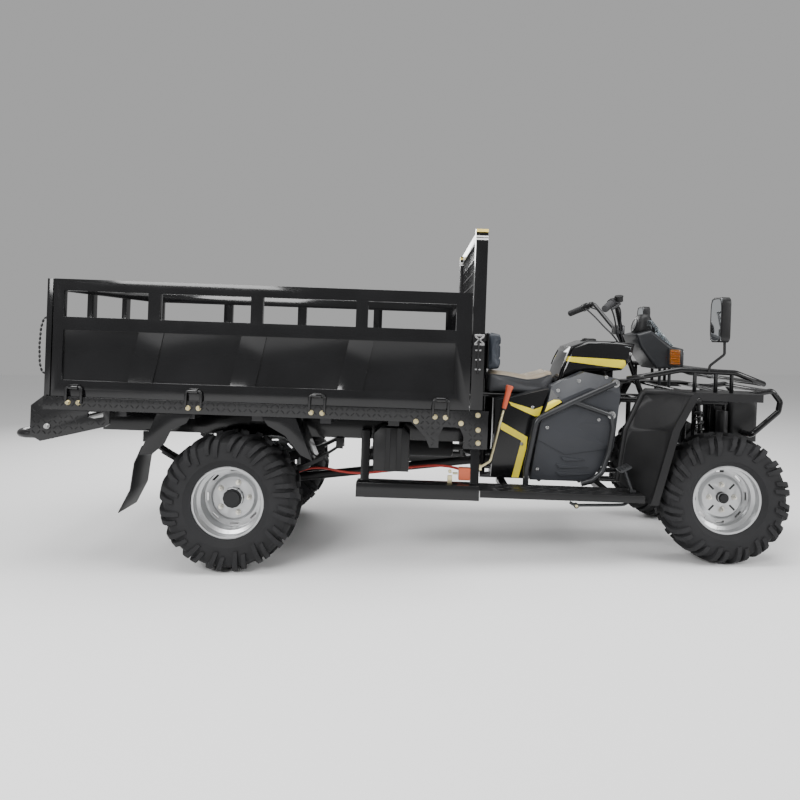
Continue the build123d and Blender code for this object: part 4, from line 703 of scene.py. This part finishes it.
def stuck_on(name, skin, field, side, finish, lift=0.0006):
    """A thin film on one side face of a skin, cut to a convex (u, w) field."""
    film = bmesh.new()
    film.from_mesh(skin.data)
    corners = [body_place @ Vector((u, 0, w)) for u, w in field]
    middle = sum(corners, Vector()) / len(corners)
    for start, end in zip(corners, corners[1:] + corners[:1]):
        way = Vector((0, 1, 0)).cross(end - start).normalized()
        if way.dot(middle - start) > 0:
            way = -way
        bmesh.ops.bisect_plane(
            film, geom=[*film.verts, *film.edges, *film.faces], plane_co=start, plane_no=way,
            clear_outer=True,
        )
    reach = max(side * corner.co.y for corner in film.verts)
    hidden = [
        face for face in film.faces
        if face.normal.y * side < 0.2 or face.calc_center_median().y * side < reach - 0.03
    ]
    bmesh.ops.delete(film, geom=hidden, context="FACES")
    for corner in film.verts:
        corner.co += corner.normal * lift
    bmesh.ops.solidify(film, geom=film.faces[:], thickness=lift * 0.9)
    finished(name, film, finish, "body", place=Matrix.Identity(4))


side_skin = eased("side_covers", cover_grey, 3.0, 3)
rear_skin = eased("rear_covers", gloss_black, 2.0, 3)
stripe_fields = (
    ((1281.6, 792.2), (1408.9, 758.8), (1410, 725), (1295.5, 772.5)),
    ((1408.9, 758.8), (1450, 776), (1436, 732), (1425, 726), (1410, 725)),
    ((1242.4, 678.8), (1252.5, 689.6), (1380.3, 621.0), (1349.6, 602.5), (1246.8, 654.6)),
    ((1380.3, 621.0), (1375.4, 561.6), (1343.6, 574.4), (1349.6, 602.5)),
    ((1375.4, 561.6), (1342.7, 420), (1307.8, 420), (1343.6, 574.4)),
)
corner_field = ((1425, 700), (1542, 797), (1492, 862), (1470, 880))
corner_stripe = (
    (1405, 760), (1498.6, 811), (1526.5, 811.5), (1535.6, 802.2), (1499.7, 780), (1431.5, 735.7),
)
for side, hand in ((-1, "right"), (1, "left")):
    for number, field in enumerate(stripe_fields):
        stuck_on(f"stripe_{hand}_{number}", rear_skin, field, side, stripe_yellow)
    stuck_on(f"corner_{hand}", side_skin, corner_field, side, gloss_black)
    stuck_on(f"corner_stripe_{hand}", side_skin, corner_stripe, side, stripe_yellow, 0.0012)
screw_places = (
    (1615.8, 908.3, 320), (1515.6, 857.9, 320), (1749.4, 931.0, 320), (1469.0, 675.7, 320),
    (1718.9, 723.2, 320), (1428.1, 469.6, 313), (1400.0, 768.0, 285), (1352.5, 586.0, 285),
)
screws = bmesh.new()
for side in (-1, 1):
    for u, w, y in screw_places:
        turned(
            screws, [(-3, 9), (1, 9), (3.4, 7.5), (4.6, 5), (4.8, 3), (2.2, 2.8)],
            (u, side * y, w), (0, side, 0), 18,
        )
finished("cover_screws", screws, screw_steel, "body")
eased("cover_guards", guard_grey, 1.0)
guard_y = 334.3
bosses = bmesh.new()
for side in (-1, 1):
    for u, w, size in ((1790.0, 904.0, 21), (1775.0, 749.0, 21), (1370.6, 434.8, 15)):
        spot = (u, side * guard_y, w)
        dished = [
            (6, size - 1), (9.5, size - 2), (10.5, size - 5), (10.5, size * 0.5),
            (8.5, size * 0.45), (8.5, 2),
        ]
        turned(bosses, dished, spot, (0, side, 0), 28)
        turned(bosses, [(8, 6.5), (11.5, 6.5), (12.5, 5)], spot, (0, side, 0), 6)
finished("guard_bosses", bosses, screw_steel, "body")

# Footboards: folded sheet with raised grip bars along the top, the brake pedal
# with its ribbed pad, and the pedal's return rod clipped underneath.
eased("footboards", satin_black, 1.5)
eased("brake_pedal", guard_grey, 2.0)
bar_rows, bars_per_row = 5, 9
bar_long, bar_half, bar_top = 38.0, 4.0, 399.2
bar_pitch, bar_row_pitch, bar_stagger = 72.0, 30.0, 22.0
board_grips = bmesh.new()
for side in (-1, 1):
    for row in range(bar_rows):
        y = 350.0 + row * bar_row_pitch
        inner, outer = sorted((side * (y - bar_half), side * (y + bar_half)))
        for column in range(bars_per_row):
            u = 1190.0 + column * bar_pitch + (row % 2) * bar_stagger
            pressed(board_grips, (u, inner, 395.5), (u + bar_long, outer, bar_top), 1.2, 1)
finished("board_grips", board_grips, satin_black, "body")
pedal_pad = Matrix.Translation((1815, -430, 512)) @ Matrix.Rotation(math.radians(-28), 4, "Y")
pedal_rib_pitch, pedal_rib_wide = 12.5, 6.0
pedal_ribs = bmesh.new()
for number in range(4):
    start = -22 + number * pedal_rib_pitch
    pressed(pedal_ribs, (start, -35, 4.0), (start + pedal_rib_wide, 35, 7.2), 0.8, 1)
bmesh.ops.transform(pedal_ribs, verts=pedal_ribs.verts, matrix=pedal_pad)
finished("pedal_ribs", pedal_ribs, guard_grey, "body")
rod_path = (
    (1556, -470, 352), (1582, -472, 340), (1615, -472, 341), (1780, -472, 348),
    (1815, -470, 354), (1832, -468, 368),
)
rod_eye = (1586, -470, 338)
rod = bmesh.new()
swept(rod, curved(rod_path), 7.0, 12)
turned(rod, [(-9, 12), (9, 12)], rod_eye, (0, 1, 0), 20)
finished("under_rod", rod, guard_grey, "body")
rod_bolt = bmesh.new()
turned(rod_bolt, [(8, 7), (13, 7), (14, 5.5)], rod_eye, (0, -1, 0), 6)
finished("under_rod_bolt", rod_bolt, zinc, "body")

# Mud flaps and canister: rubber sheets that hang behind the rear wheels, and a
# small oil canister beside the radiator, all satin black.
for node_name in ("mud_flaps", "canister"):
    eased(node_name, satin_black, 1.5)

# Seat and backrest: foam under stretched vinyl, grey down the saddle's sides and
# a lighter tan on its top, the tan being a painted warm sheen, with a piped seam
# between them. The backrest is blue-grey with two stitched channels. Each is
# swollen from a slightly smaller form.
def vinyl(name, colour):
    """Grained vinyl whose tone and shine drift over the pad."""
    finish = sprayed(name, colour, 0.46, 1400.0, 0.5, mottle=0.14)
    nodes, links = finish.node_tree.nodes, finish.node_tree.links
    place = nodes.new("ShaderNodeTexCoord")
    grain = nodes.new("ShaderNodeTexVoronoi")
    grain.inputs["Scale"].default_value = 900.0
    links.new(place.outputs["Object"], grain.inputs["Vector"])
    bump = nodes.new("ShaderNodeBump")
    bump.inputs["Strength"].default_value = 0.35
    bump.inputs["Distance"].default_value = 0.0006
    links.new(grain.outputs["Distance"], bump.inputs["Height"])
    older = nodes["Bump"]
    links.new(older.outputs["Normal"], bump.inputs["Normal"])
    links.new(bump.outputs["Normal"], nodes["Principled BSDF"].inputs["Normal"])
    return finish


def swollen(name, node_name, finish, held, swell, voxel):
    """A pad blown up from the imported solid, fixed where held(point) is true."""
    node = frame["nodes"][node_name]
    start = bmesh.new()
    start.from_mesh(node.data)
    bmesh.ops.remove_doubles(start, verts=start.verts, dist=0.00002)
    middle = sum((corner.co for corner in start.verts), Vector()) / len(start.verts)
    for corner in start.verts:
        corner.co = middle + (corner.co - middle) * 0.975
    data = bpy.data.meshes.new(name)
    start.to_mesh(data)
    start.free()
    pad = bpy.data.objects.new(name, data)
    scene.collection.objects.link(pad)
    bpy.context.view_layer.objects.active = pad
    remesh = pad.modifiers.new("remesh", "REMESH")
    remesh.mode = "VOXEL"
    remesh.voxel_size = voxel
    smooth = pad.modifiers.new("smooth", "SMOOTH")
    smooth.iterations = 6
    bpy.ops.object.modifier_apply(modifier="remesh")
    bpy.ops.object.modifier_apply(modifier="smooth")
    before = [corner.co.copy() for corner in pad.data.vertices]
    pins = pad.vertex_groups.new(name="held")
    pins.add([i for i, place in enumerate(before) if held(place)], 1.0, "ADD")
    blown = pad.modifiers.new("blown", "CLOTH")
    blown.settings.use_pressure = True
    blown.settings.uniform_pressure_force = 4.0
    blown.settings.effector_weights.gravity = 0.0
    blown.settings.vertex_group_mass = "held"
    blown.settings.tension_stiffness = 12.0
    blown.point_cache.frame_start, blown.point_cache.frame_end = 1, 20
    for step in range(1, 21):
        scene.frame_set(step)
    bpy.ops.object.modifier_apply(modifier="blown")
    pad.vertex_groups.clear()
    scene.frame_set(1)
    for corner, place in zip(pad.data.vertices, before):
        moved = corner.co - place
        if moved.length > swell:
            corner.co = place + moved.normalized() * swell
    pad.data.materials.clear()
    for coat in finish:
        pad.data.materials.append(coat)
    pad.data.shade_smooth()
    finer = pad.modifiers.new("finer", "SUBSURF")
    finer.levels = finer.render_levels = 1
    bpy.ops.object.modifier_apply(modifier="finer")
    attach(pad, "body")
    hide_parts(node_name)
    return pad


# Painted sheen: a warm tan laid on the saddle's top faces in place of light reflected there.
saddle_top_painted_sheen = vinyl("saddle_top_painted_sheen", (0.27, 0.22, 0.155))
saddle_grey = vinyl("saddle_grey", (0.062, 0.064, 0.070))
backrest_blue = vinyl("backrest_blue", (0.028, 0.036, 0.050))
to_body = body_place.inverted()
saddle_line = (
    (1190, 924), (1240, 920), (1290, 916), (1345, 909), (1393, 904), (1440, 911), (1480, 925),
    (1505, 936), (1520, 940), (1534, 915),
)


def saddle_top(u):
    """Height of the saddle's middle at u."""
    for (u1, w1), (u2, w2) in zip(saddle_line, saddle_line[1:]):
        if u <= u2:
            return w1 + (w2 - w1) * max(0.0, u - u1) / (u2 - u1)
    return saddle_line[-1][1]


def seam_drop(u):
    """Height of the seam below the saddle's top at u."""
    return 9.0 + 10.0 * max(0.0, (u - 1290.0) / 240.0)


saddle = swollen(
    "saddle", "seat", (saddle_grey, saddle_top_painted_sheen), lambda place: (to_body @ place).z < 832.0,
    0.007, 0.006,
)
# Faces above the seam line take the tan painted sheen; those below keep the grey vinyl.
for face in saddle.data.polygons:
    spot = to_body @ face.center
    if spot.z > saddle_top(spot.x) - seam_drop(spot.x):
        face.material_index = 1
seam_half, seam_start, seam_pitch, seam_end = 118.0, 1198.0, 18.0, 1519.0
stations = [seam_start + number * seam_pitch for number in range(18)] + [seam_end]
right, left = (
    [(u, side * seam_half, saddle_top(u) - seam_drop(u)) for u in stations] for side in (-1, 1)
)
horn = (seam_end + 10, 0.0, saddle_top(seam_end) - seam_drop(seam_end) - 3)
seam_path = []
for point in curved([*right, horn, *reversed(left), right[0]], 3):
    hit = saddle.closest_point_on_mesh(body_place @ point)
    seam_path.append(to_body @ (hit[1] + hit[2] * 0.0006))
piping = bmesh.new()
swept(piping, seam_path, 3.0, 8)
finished("saddle_piping", piping, saddle_grey, "body")

back_pad = swollen(
    "back_pad", "backrest", (backrest_blue,), lambda place: (to_body @ place).x < 1196.0,
    0.008, 0.005,
)
channel_levels, channel_deep, channel_half = (1000.0, 1068.0), 6.0, 5.0
pad_front, pad_half, pad_fade = 1225.0, 140.0, 16.0
for corner in back_pad.data.vertices:
    spot = to_body @ corner.co
    if spot.x > pad_front:
        for level in channel_levels:
            press = math.exp(-(((spot.z - level) / channel_half) ** 2))
            fade = min(1.0, max(0.0, (pad_half - abs(spot.y)) / pad_fade))
            spot.x -= channel_deep * press * fade
        corner.co = body_place @ spot
board = bmesh.new()
pressed(board, (1183.5, -146, 943), (1189.5, 146, 1126), 2.0)
finished("back_board", board, satin_black, "body")

# Tank cover: a humped shell in deep gloss black with a yellow band on each side,
# a moulded knee edge, a ribbed filler cap on a sunk ring, and a screw a side.
tank_black = sprayed("tank_black", (0.005, 0.005, 0.0055), 0.10, 12.0, 0.12, clear=0.2, shine=0.35)
tank_skin = eased("tank_cover", tank_black, 3.0, 3)
tank_band = (
    (1578, 1025), (1760, 1018), (1888, 1015), (1904, 978), (1894, 966), (1740, 982), (1588, 995),
)
knee_edge = (
    (1572, 148, 968), (1588, 150, 1010), (1622, 144, 1067), (1690, 136, 1090), (1770, 137, 1088),
    (1850, 138, 1086), (1925, 140, 1079),
)
for side, hand in ((-1, "right"), (1, "left")):
    stuck_on(f"tank_band_{hand}", tank_skin, tank_band, side, stripe_yellow)
    knee = bmesh.new()
    swept(knee, curved([(u, side * y, w) for u, y, w in knee_edge]), 3.2, 10)
    finished(f"tank_edge_{hand}", knee, tank_black, "body")
filler_u, filler_w = 1740.0, 1106.5
filler_radius, filler_ribs = 34.0, 16
filler = bmesh.new()
turned(
    filler,
    [(-6, 46), (1, 46), (2.5, 44), (2.5, 39), (-1, 37), (-1, 35), (9, 34), (12, 31), (13, 26),
     (13, 8)],
    (filler_u, 0, filler_w), (0.02, 0, 1), 48,
)
for number in range(filler_ribs):
    turn = math.tau * number / filler_ribs
    ahead, aside = filler_radius * math.cos(turn), filler_radius * math.sin(turn)
    spot = (filler_u + ahead, aside, filler_w - 0.5)
    turned(filler, [(0, 3.2), (9.5, 3.0), (10.5, 2.0)], spot, (0, 0, 1), 8)
finished("filler_cap", filler, satin_black, "body")
tank_screws = bmesh.new()
for side in (-1, 1):
    turned(
        tank_screws, [(-3, 8), (1, 8), (3, 6.5), (3.6, 4), (2.0, 2.6)],
        (1917, side * 149.5, 1046), (0, side, 0), 18,
    )
finished("tank_screws", tank_screws, screw_steel, "body")

# Front fenders, rack, bumper and radiator: deep moulded panels with rolled rims in
# satin black, round rails with flat slats above them, a bent tube ahead, and the
# radiator in its housing between the fenders.
fender_black = sprayed("fender_black", (0.008, 0.008, 0.0085), 0.42, 700.0, 0.35, shine=0.3)
eased("front_fenders", fender_black, 1.5)
eased("front_rack", gloss_black, 1.5)
eased("front_bumper", gloss_black, 0.8)
eased("radiator_housing", fender_black, 2.0)

# Nacelle: a dark grey moulding that holds the headlight, with the dial's hooded
# pod above it, a clear screen ahead of the hood and amber signals at its sides.
nacelle_grey = sprayed(
    "nacelle_grey", (0.014, 0.015, 0.017), 0.34, 600.0, 0.2, mottle=0.15, shine=0.35,
)
eased("nacelle", nacelle_grey, 4.0, 3)


def clear_plastic(name, colour, gloss):
    """A tinted clear moulding with faint flow marks."""
    finish = sprayed(name, colour, gloss, 200.0, 0.08, mottle=0.05)
    shader = finish.node_tree.nodes["Principled BSDF"]
    shader.inputs["Transmission Weight"].default_value = 0.85
    shader.inputs["IOR"].default_value = 1.46
    return finish


screen_clear = clear_plastic("screen_clear", (0.80, 0.86, 0.90), 0.06)
amber = clear_plastic("signal_amber", (0.95, 0.32, 0.02), 0.16)
lens_clear = clear_plastic("lens_clear", (0.86, 0.88, 0.90), 0.10)
eased("windscreen", screen_clear, 1.2, 2)
pod_corners = 28
pod_line = (
    (1968, 1140, 62), (1970, 1176, 68), (1979, 1216, 66), (1990, 1244, 58), (2004, 1260, 42),
)


def squared(share, power):
    """A cosine or sine drawn out towards a square corner, its sign kept."""
    return math.copysign(abs(share) ** power, share)


pod = bmesh.new()
rows = []
for back_u, w, half in pod_line:
    front_u = min(2052.0 + (1256 - w) * 0.45, 2090.0)
    row = bmesh.ops.create_circle(pod, segments=pod_corners, radius=1.0)["verts"]
    for corner in row:
        u = (back_u + front_u) / 2 + (front_u - back_u) / 2 * squared(corner.co.x, 0.7)
        corner.co = (u, half * squared(corner.co.y, 0.8), w)
    rows.append(row)
skinned(pod, rows)
hood = finished("dial_hood", pod, fender_black, "body")
rounding = hood.modifiers.new("rounding", "SUBSURF")
rounding.levels = rounding.render_levels = 1
dial = bmesh.new()
turned(
    dial, [(-10, 38), (3, 38), (4, 36), (4, 33), (1.5, 32), (1.5, 2)], (1979, 0, 1198),
    (-0.97, 0, 0.24), 36,
)
finished("dial_rim", dial, nacelle_grey, "body")
lens_ring = bmesh.new()
pressed(lens_ring, (2200, -97, 988), (2211, 97, 1079), 3.0, 2)
finished("lens_ring", lens_ring, nacelle_grey, "body")
eased("headlight", lens_clear, 3.0, 3)
flute_pitch, flute_wide = 15.5, 10.0
flutes = bmesh.new()
for number in range(11):
    y = -84 + number * flute_pitch
    pressed(flutes, (2213, y, 1001), (2218.5, y + flute_wide, 1066), 1.6, 2)
finished("lens_flutes", flutes, lens_clear, "body")
signal_face = 149.0
signal_rib_pitch, signal_rib_wide = 12.3, 5.0
signal_ribs = bmesh.new()
signal_rims = bmesh.new()
for side in (-1, 1):
    inner, outer = sorted((side * signal_face, side * (signal_face + 3.5)))
    for number in range(6):
        level = 1002 + number * signal_rib_pitch
        pressed(signal_ribs, (2126, inner, level), (2172, outer, level + signal_rib_wide), 1.2, 1)
    inner, outer = sorted((side * 126, side * 137))
    pressed(signal_rims, (2119, inner, 993), (2180, outer, 1081), 2.5, 2)
eased("turn_signals", amber, 4.0, 3)
finished("signal_ribs", signal_ribs, amber, "body")
finished("signal_rims", signal_rims, nacelle_grey, "body")

# Mirrors: black moulded shells on bent steel stalks, clamped to the rack, with
# silvered glass set into the rear face under a thin rim.
mirror_glass = sprayed("mirror_glass", (0.75, 0.78, 0.80), 0.03, 40.0, 0.02, metal=1.0, mottle=0.03)
eased("mirrors", fender_black, 5.0, 3)
mirror_y, mirror_w = 520.0, 1223.0
glass_back, glass_front, glass_half_wide, glass_half_high = 2183.5, 2187.0, 53.0, 96.0
rim_steps, rim_wire = 40, 3.6
for side, hand in ((-1, "right"), (1, "left")):
    middle = side * mirror_y
    glass = bmesh.new()
    pressed(
        glass, (glass_back, middle - glass_half_wide, mirror_w - glass_half_high),
        (glass_front, middle + glass_half_wide, mirror_w + glass_half_high), 1.2, 1,
    )
    finished(f"mirror_glass_{hand}", glass, mirror_glass, "body")
    rim_path = []
    for number in range(rim_steps + 1):
        turn = math.tau * number / rim_steps
        y = middle + (glass_half_wide + 1) * squared(math.cos(turn), 0.45)
        w = mirror_w + (glass_half_high + 1) * squared(math.sin(turn), 0.45)
        rim_path.append((2185, y, w))
    mirror_rim = bmesh.new()
    swept(mirror_rim, rim_path, rim_wire, 8)
    finished(f"mirror_rim_{hand}", mirror_rim, fender_black, "body")

# Handlebar and controls: a bent bar in black enamel with ribbed rubber grips,
# levers on split perches, a fluid cup, switch pods and dark cables that hang
# down behind the nacelle. The bar is clamped to the column's head.
bar_black = sprayed("bar_black", (0.02, 0.02, 0.021), 0.25, 500.0, 0.1, metal=0.5)
grip_rubber = sprayed("grip_rubber", (0.022, 0.022, 0.024), 0.75, 900.0, 0.5)
lever_black = sprayed("lever_black", (0.06, 0.06, 0.063), 0.35, 500.0, 0.15, metal=0.7)
eased("handlebar", bar_black, 0.0)
eased("controls", lever_black, 1.0)
grip_long, rib_count, rib_pitch = 118.0, 18, 6.0
for side, hand in ((-1, "right"), (1, "left")):
    bar_bend = Vector((1812, side * 205, 1317))
    bar_end = Vector((1716, side * 370, 1262))
    way = (bar_end - bar_bend).normalized()
    start = bar_end - way * grip_long
    outline = [(-2, 15), (-2, 22), (2, 22), (3, 17)]
    for number in range(rib_count):
        rib = number * rib_pitch
        outline += [(6 + rib, 16.2), (8.4 + rib, 17.4), (10 + rib, 17.4)]
    outline += [(116, 17.0), (119, 14.0), (120, 8.0)]
    rubber_grip = bmesh.new()
    turned(rubber_grip, outline, start, way, 28)
    grip = finished(f"grip_{hand}", rubber_grip, grip_rubber, "steering")
    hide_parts("grips")
    pods = bmesh.new()
    turned(
        pods,
        [(-34, 15), (-33, 20), (-29, 21.5), (-17, 21.5), (-16, 20), (-14, 20), (-13, 21.5),
         (-7, 21.5), (-4, 20), (-3, 15)],
        start, way, 24,
    )
    for offset, size in ((50, 17), (64, 14)):
        collar = [(-11, size - 2), (-9, size), (9, size), (11, size - 2)]
        turned(pods, collar, start - way * offset, way, 20)
    finished(f"switch_pod_{hand}", pods, satin_black, "steering")
    if hand == "right":
        ahead = Vector((-way.y, way.x, 0)).normalized()
        up = way.cross(ahead)
        up = up if up.z > 0 else -up
        cup = bmesh.new()
        turned(
            cup, [(-13, 17), (-11, 20), (9, 20), (10, 22), (16, 22), (18, 20)],
            start - way * 44 + ahead * 28 + up * 12, up, 28,
        )
        finished("fluid_cup", cup, satin_black, "steering")


def corded(name, route, radius, finish, rider):
    """A cord on a smooth spline whose control points are the route's, in mm."""
    data = bpy.data.curves.new(name, "CURVE")
    data.dimensions = "3D"
    data.bevel_depth = radius / 1000
    data.bevel_resolution = 3
    data.use_fill_caps = True
    line = data.splines.new("NURBS")
    line.points.add(len(route) - 1)
    places = [body_place @ Vector(point) for point in route]
    for knot, place in zip(line.points, places):
        knot.co = (*place, 1.0)
    line.order_u = 3
    line.use_endpoint_u = True
    line.resolution_u = 12
    data.materials.append(finish)
    cord = bpy.data.objects.new(name, data)
    scene.collection.objects.link(cord)
    bare = data.copy()
    bare.bevel_depth = 0.0
    track = bpy.data.objects.new("track", bare)
    mesh = bpy.data.meshes.new_from_object(track)
    bpy.data.objects.remove(track)
    bpy.data.meshes.remove(mesh)
    bpy.data.curves.remove(bare)
    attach(cord, rider)
    return cord


cable_routes = {
    "cable_throttle": (
        (1786, -262, 1296), (1822, -250, 1290), (1862, -150, 1236), (1886, -58, 1172),
        (1912, -34, 1112), (1934, -22, 1056),
    ),
    "cable_brake": (
        (1770, -240, 1292), (1800, -215, 1262), (1846, -120, 1190), (1874, -48, 1150),
        (1906, -26, 1100), (1930, -12, 1050),
    ),
    "cable_clutch": (
        (1786, 262, 1296), (1830, 248, 1300), (1868, 140, 1236), (1888, 56, 1172),
        (1914, 32, 1112), (1936, 20, 1056),
    ),
    "cable_switches": (
        (1774, 238, 1290), (1806, 200, 1258), (1850, 108, 1184), (1876, 44, 1146),
        (1908, 24, 1098), (1932, 10, 1050),
    ),
}
thin_cable, thick_cable = 3.6, 4.2
for name, route in cable_routes.items():
    radius = thick_cable if name in ("cable_brake", "cable_switches") else thin_cable
    corded(name, route, radius, grip_rubber, "steering")
clamp_half, clamp_top = 12.0, 1190.0
clamps = bmesh.new()
for y in (-38, 38):
    pressed(clamps, (1878, y - clamp_half, 1148), (1912, y + clamp_half, clamp_top), 4.0, 2)
    for u in (1884, 1906):
        turned(clamps, [(0, 4.5), (5, 4.5), (6, 3.5)], (u, y, clamp_top), (0, 0, 1), 6)
finished("bar_clamps", clamps, lever_black, "steering")

# Gear lever: a thin zinc-plated rod with a flared orange-red grip. The brake hose
# is red rubber and runs along the frame to a red switch box with zinc fittings.
knob_red = sprayed("knob_red", (0.52, 0.085, 0.035), 0.42, 500.0, 0.25, mottle=0.12)
hose_red = sprayed("hose_red", (0.42, 0.03, 0.02), 0.5, 600.0, 0.3)
eased("gear_lever", zinc, 0.5)
knob_foot, knob_top = Vector((1243.6, -399.7, 770)), Vector((1269.0, -388.6, 876))
knob_way = (knob_top - knob_foot).normalized()
knob_flat = 0.72
knob = bmesh.new()
turned(
    knob,
    [(-2, 8.5), (0, 10.5), (20, 12), (55, 13), (86, 14.5), (100, 17.5), (108, 18.5), (111, 17.5),
     (112.5, 14), (113, 6)],
    knob_foot, knob_way, 28,
)
for corner in knob.verts:
    middle = knob_foot + knob_way * (corner.co - knob_foot).dot(knob_way)
    corner.co.y = middle.y + (corner.co.y - middle.y) * knob_flat
knob_skin = finished("gear_grip", knob, knob_red, "body")
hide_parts("gear_knob")
collar = bmesh.new()
turned(
    collar, [(-8, 8), (-7, 9), (-1, 9), (1, 8)], knob_foot - knob_way * 2, knob_way, 20,
)
finished("gear_collar", collar, satin_black, "body")
hose_route = (
    (19, -235, 317.3), (120, -235, 317.3), (300, -235, 440), (540, -235, 392),
    (760, -235, 436), (940, -235, 459), (1063.5, -315, 459), (1063.5, -409.7, 459),
)
hose_radius = 6.0
hose = corded("brake_hose_run", hose_route, hose_radius, hose_red, "body")
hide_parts("brake_hose")
switch_red = sprayed(
    "switch_red", (0.46, 0.10, 0.045), 0.4, 500.0, 0.25, mottle=0.12, shine=0.4,
)
eased("switch_box", switch_red, 3.0, 3)
tap = bmesh.new()
pressed(tap, (984, -446, 388), (1006, -436, 452), 1.5, 1)
turned(tap, [(-6, 9), (6, 9), (8, 6)], (995, -440, 470), (0, -1, 0), 6)
turned(tap, [(-12, 5), (12, 5)], (1020, -440, 462), (1, 0, 0), 12)
finished("switch_fittings", tap, zinc, "body")

# Tail lamps: red moulded lenses with upright ribs, screwed into black housings
# on the rear sill.
lamp_red = clear_plastic("lamp_red", (0.62, 0.02, 0.015), 0.12)
eased("tail_lamps", lamp_red, 3.0, 3)
lamp_ribs = bmesh.new()
lamp_housings = bmesh.new()
lamp_rib_pitch, lamp_rib_wide = 12.0, 6.0
for side in (-1, 1):
    inner, outer = sorted((side * 450, side * 560))
    pressed(lamp_housings, (-862, inner, 717), (-843, outer, 773), 2.5, 2)
    for number in range(8):
        y = 459 + number * lamp_rib_pitch
        inner, outer = sorted((side * y, side * (y + lamp_rib_wide)))
        pressed(lamp_ribs, (-872.5, inner, 726), (-868, outer, 764), 1.2, 1)
finished("lamp_ribs", lamp_ribs, lamp_red, "body")
finished("lamp_housings", lamp_housings, satin_black, "body")
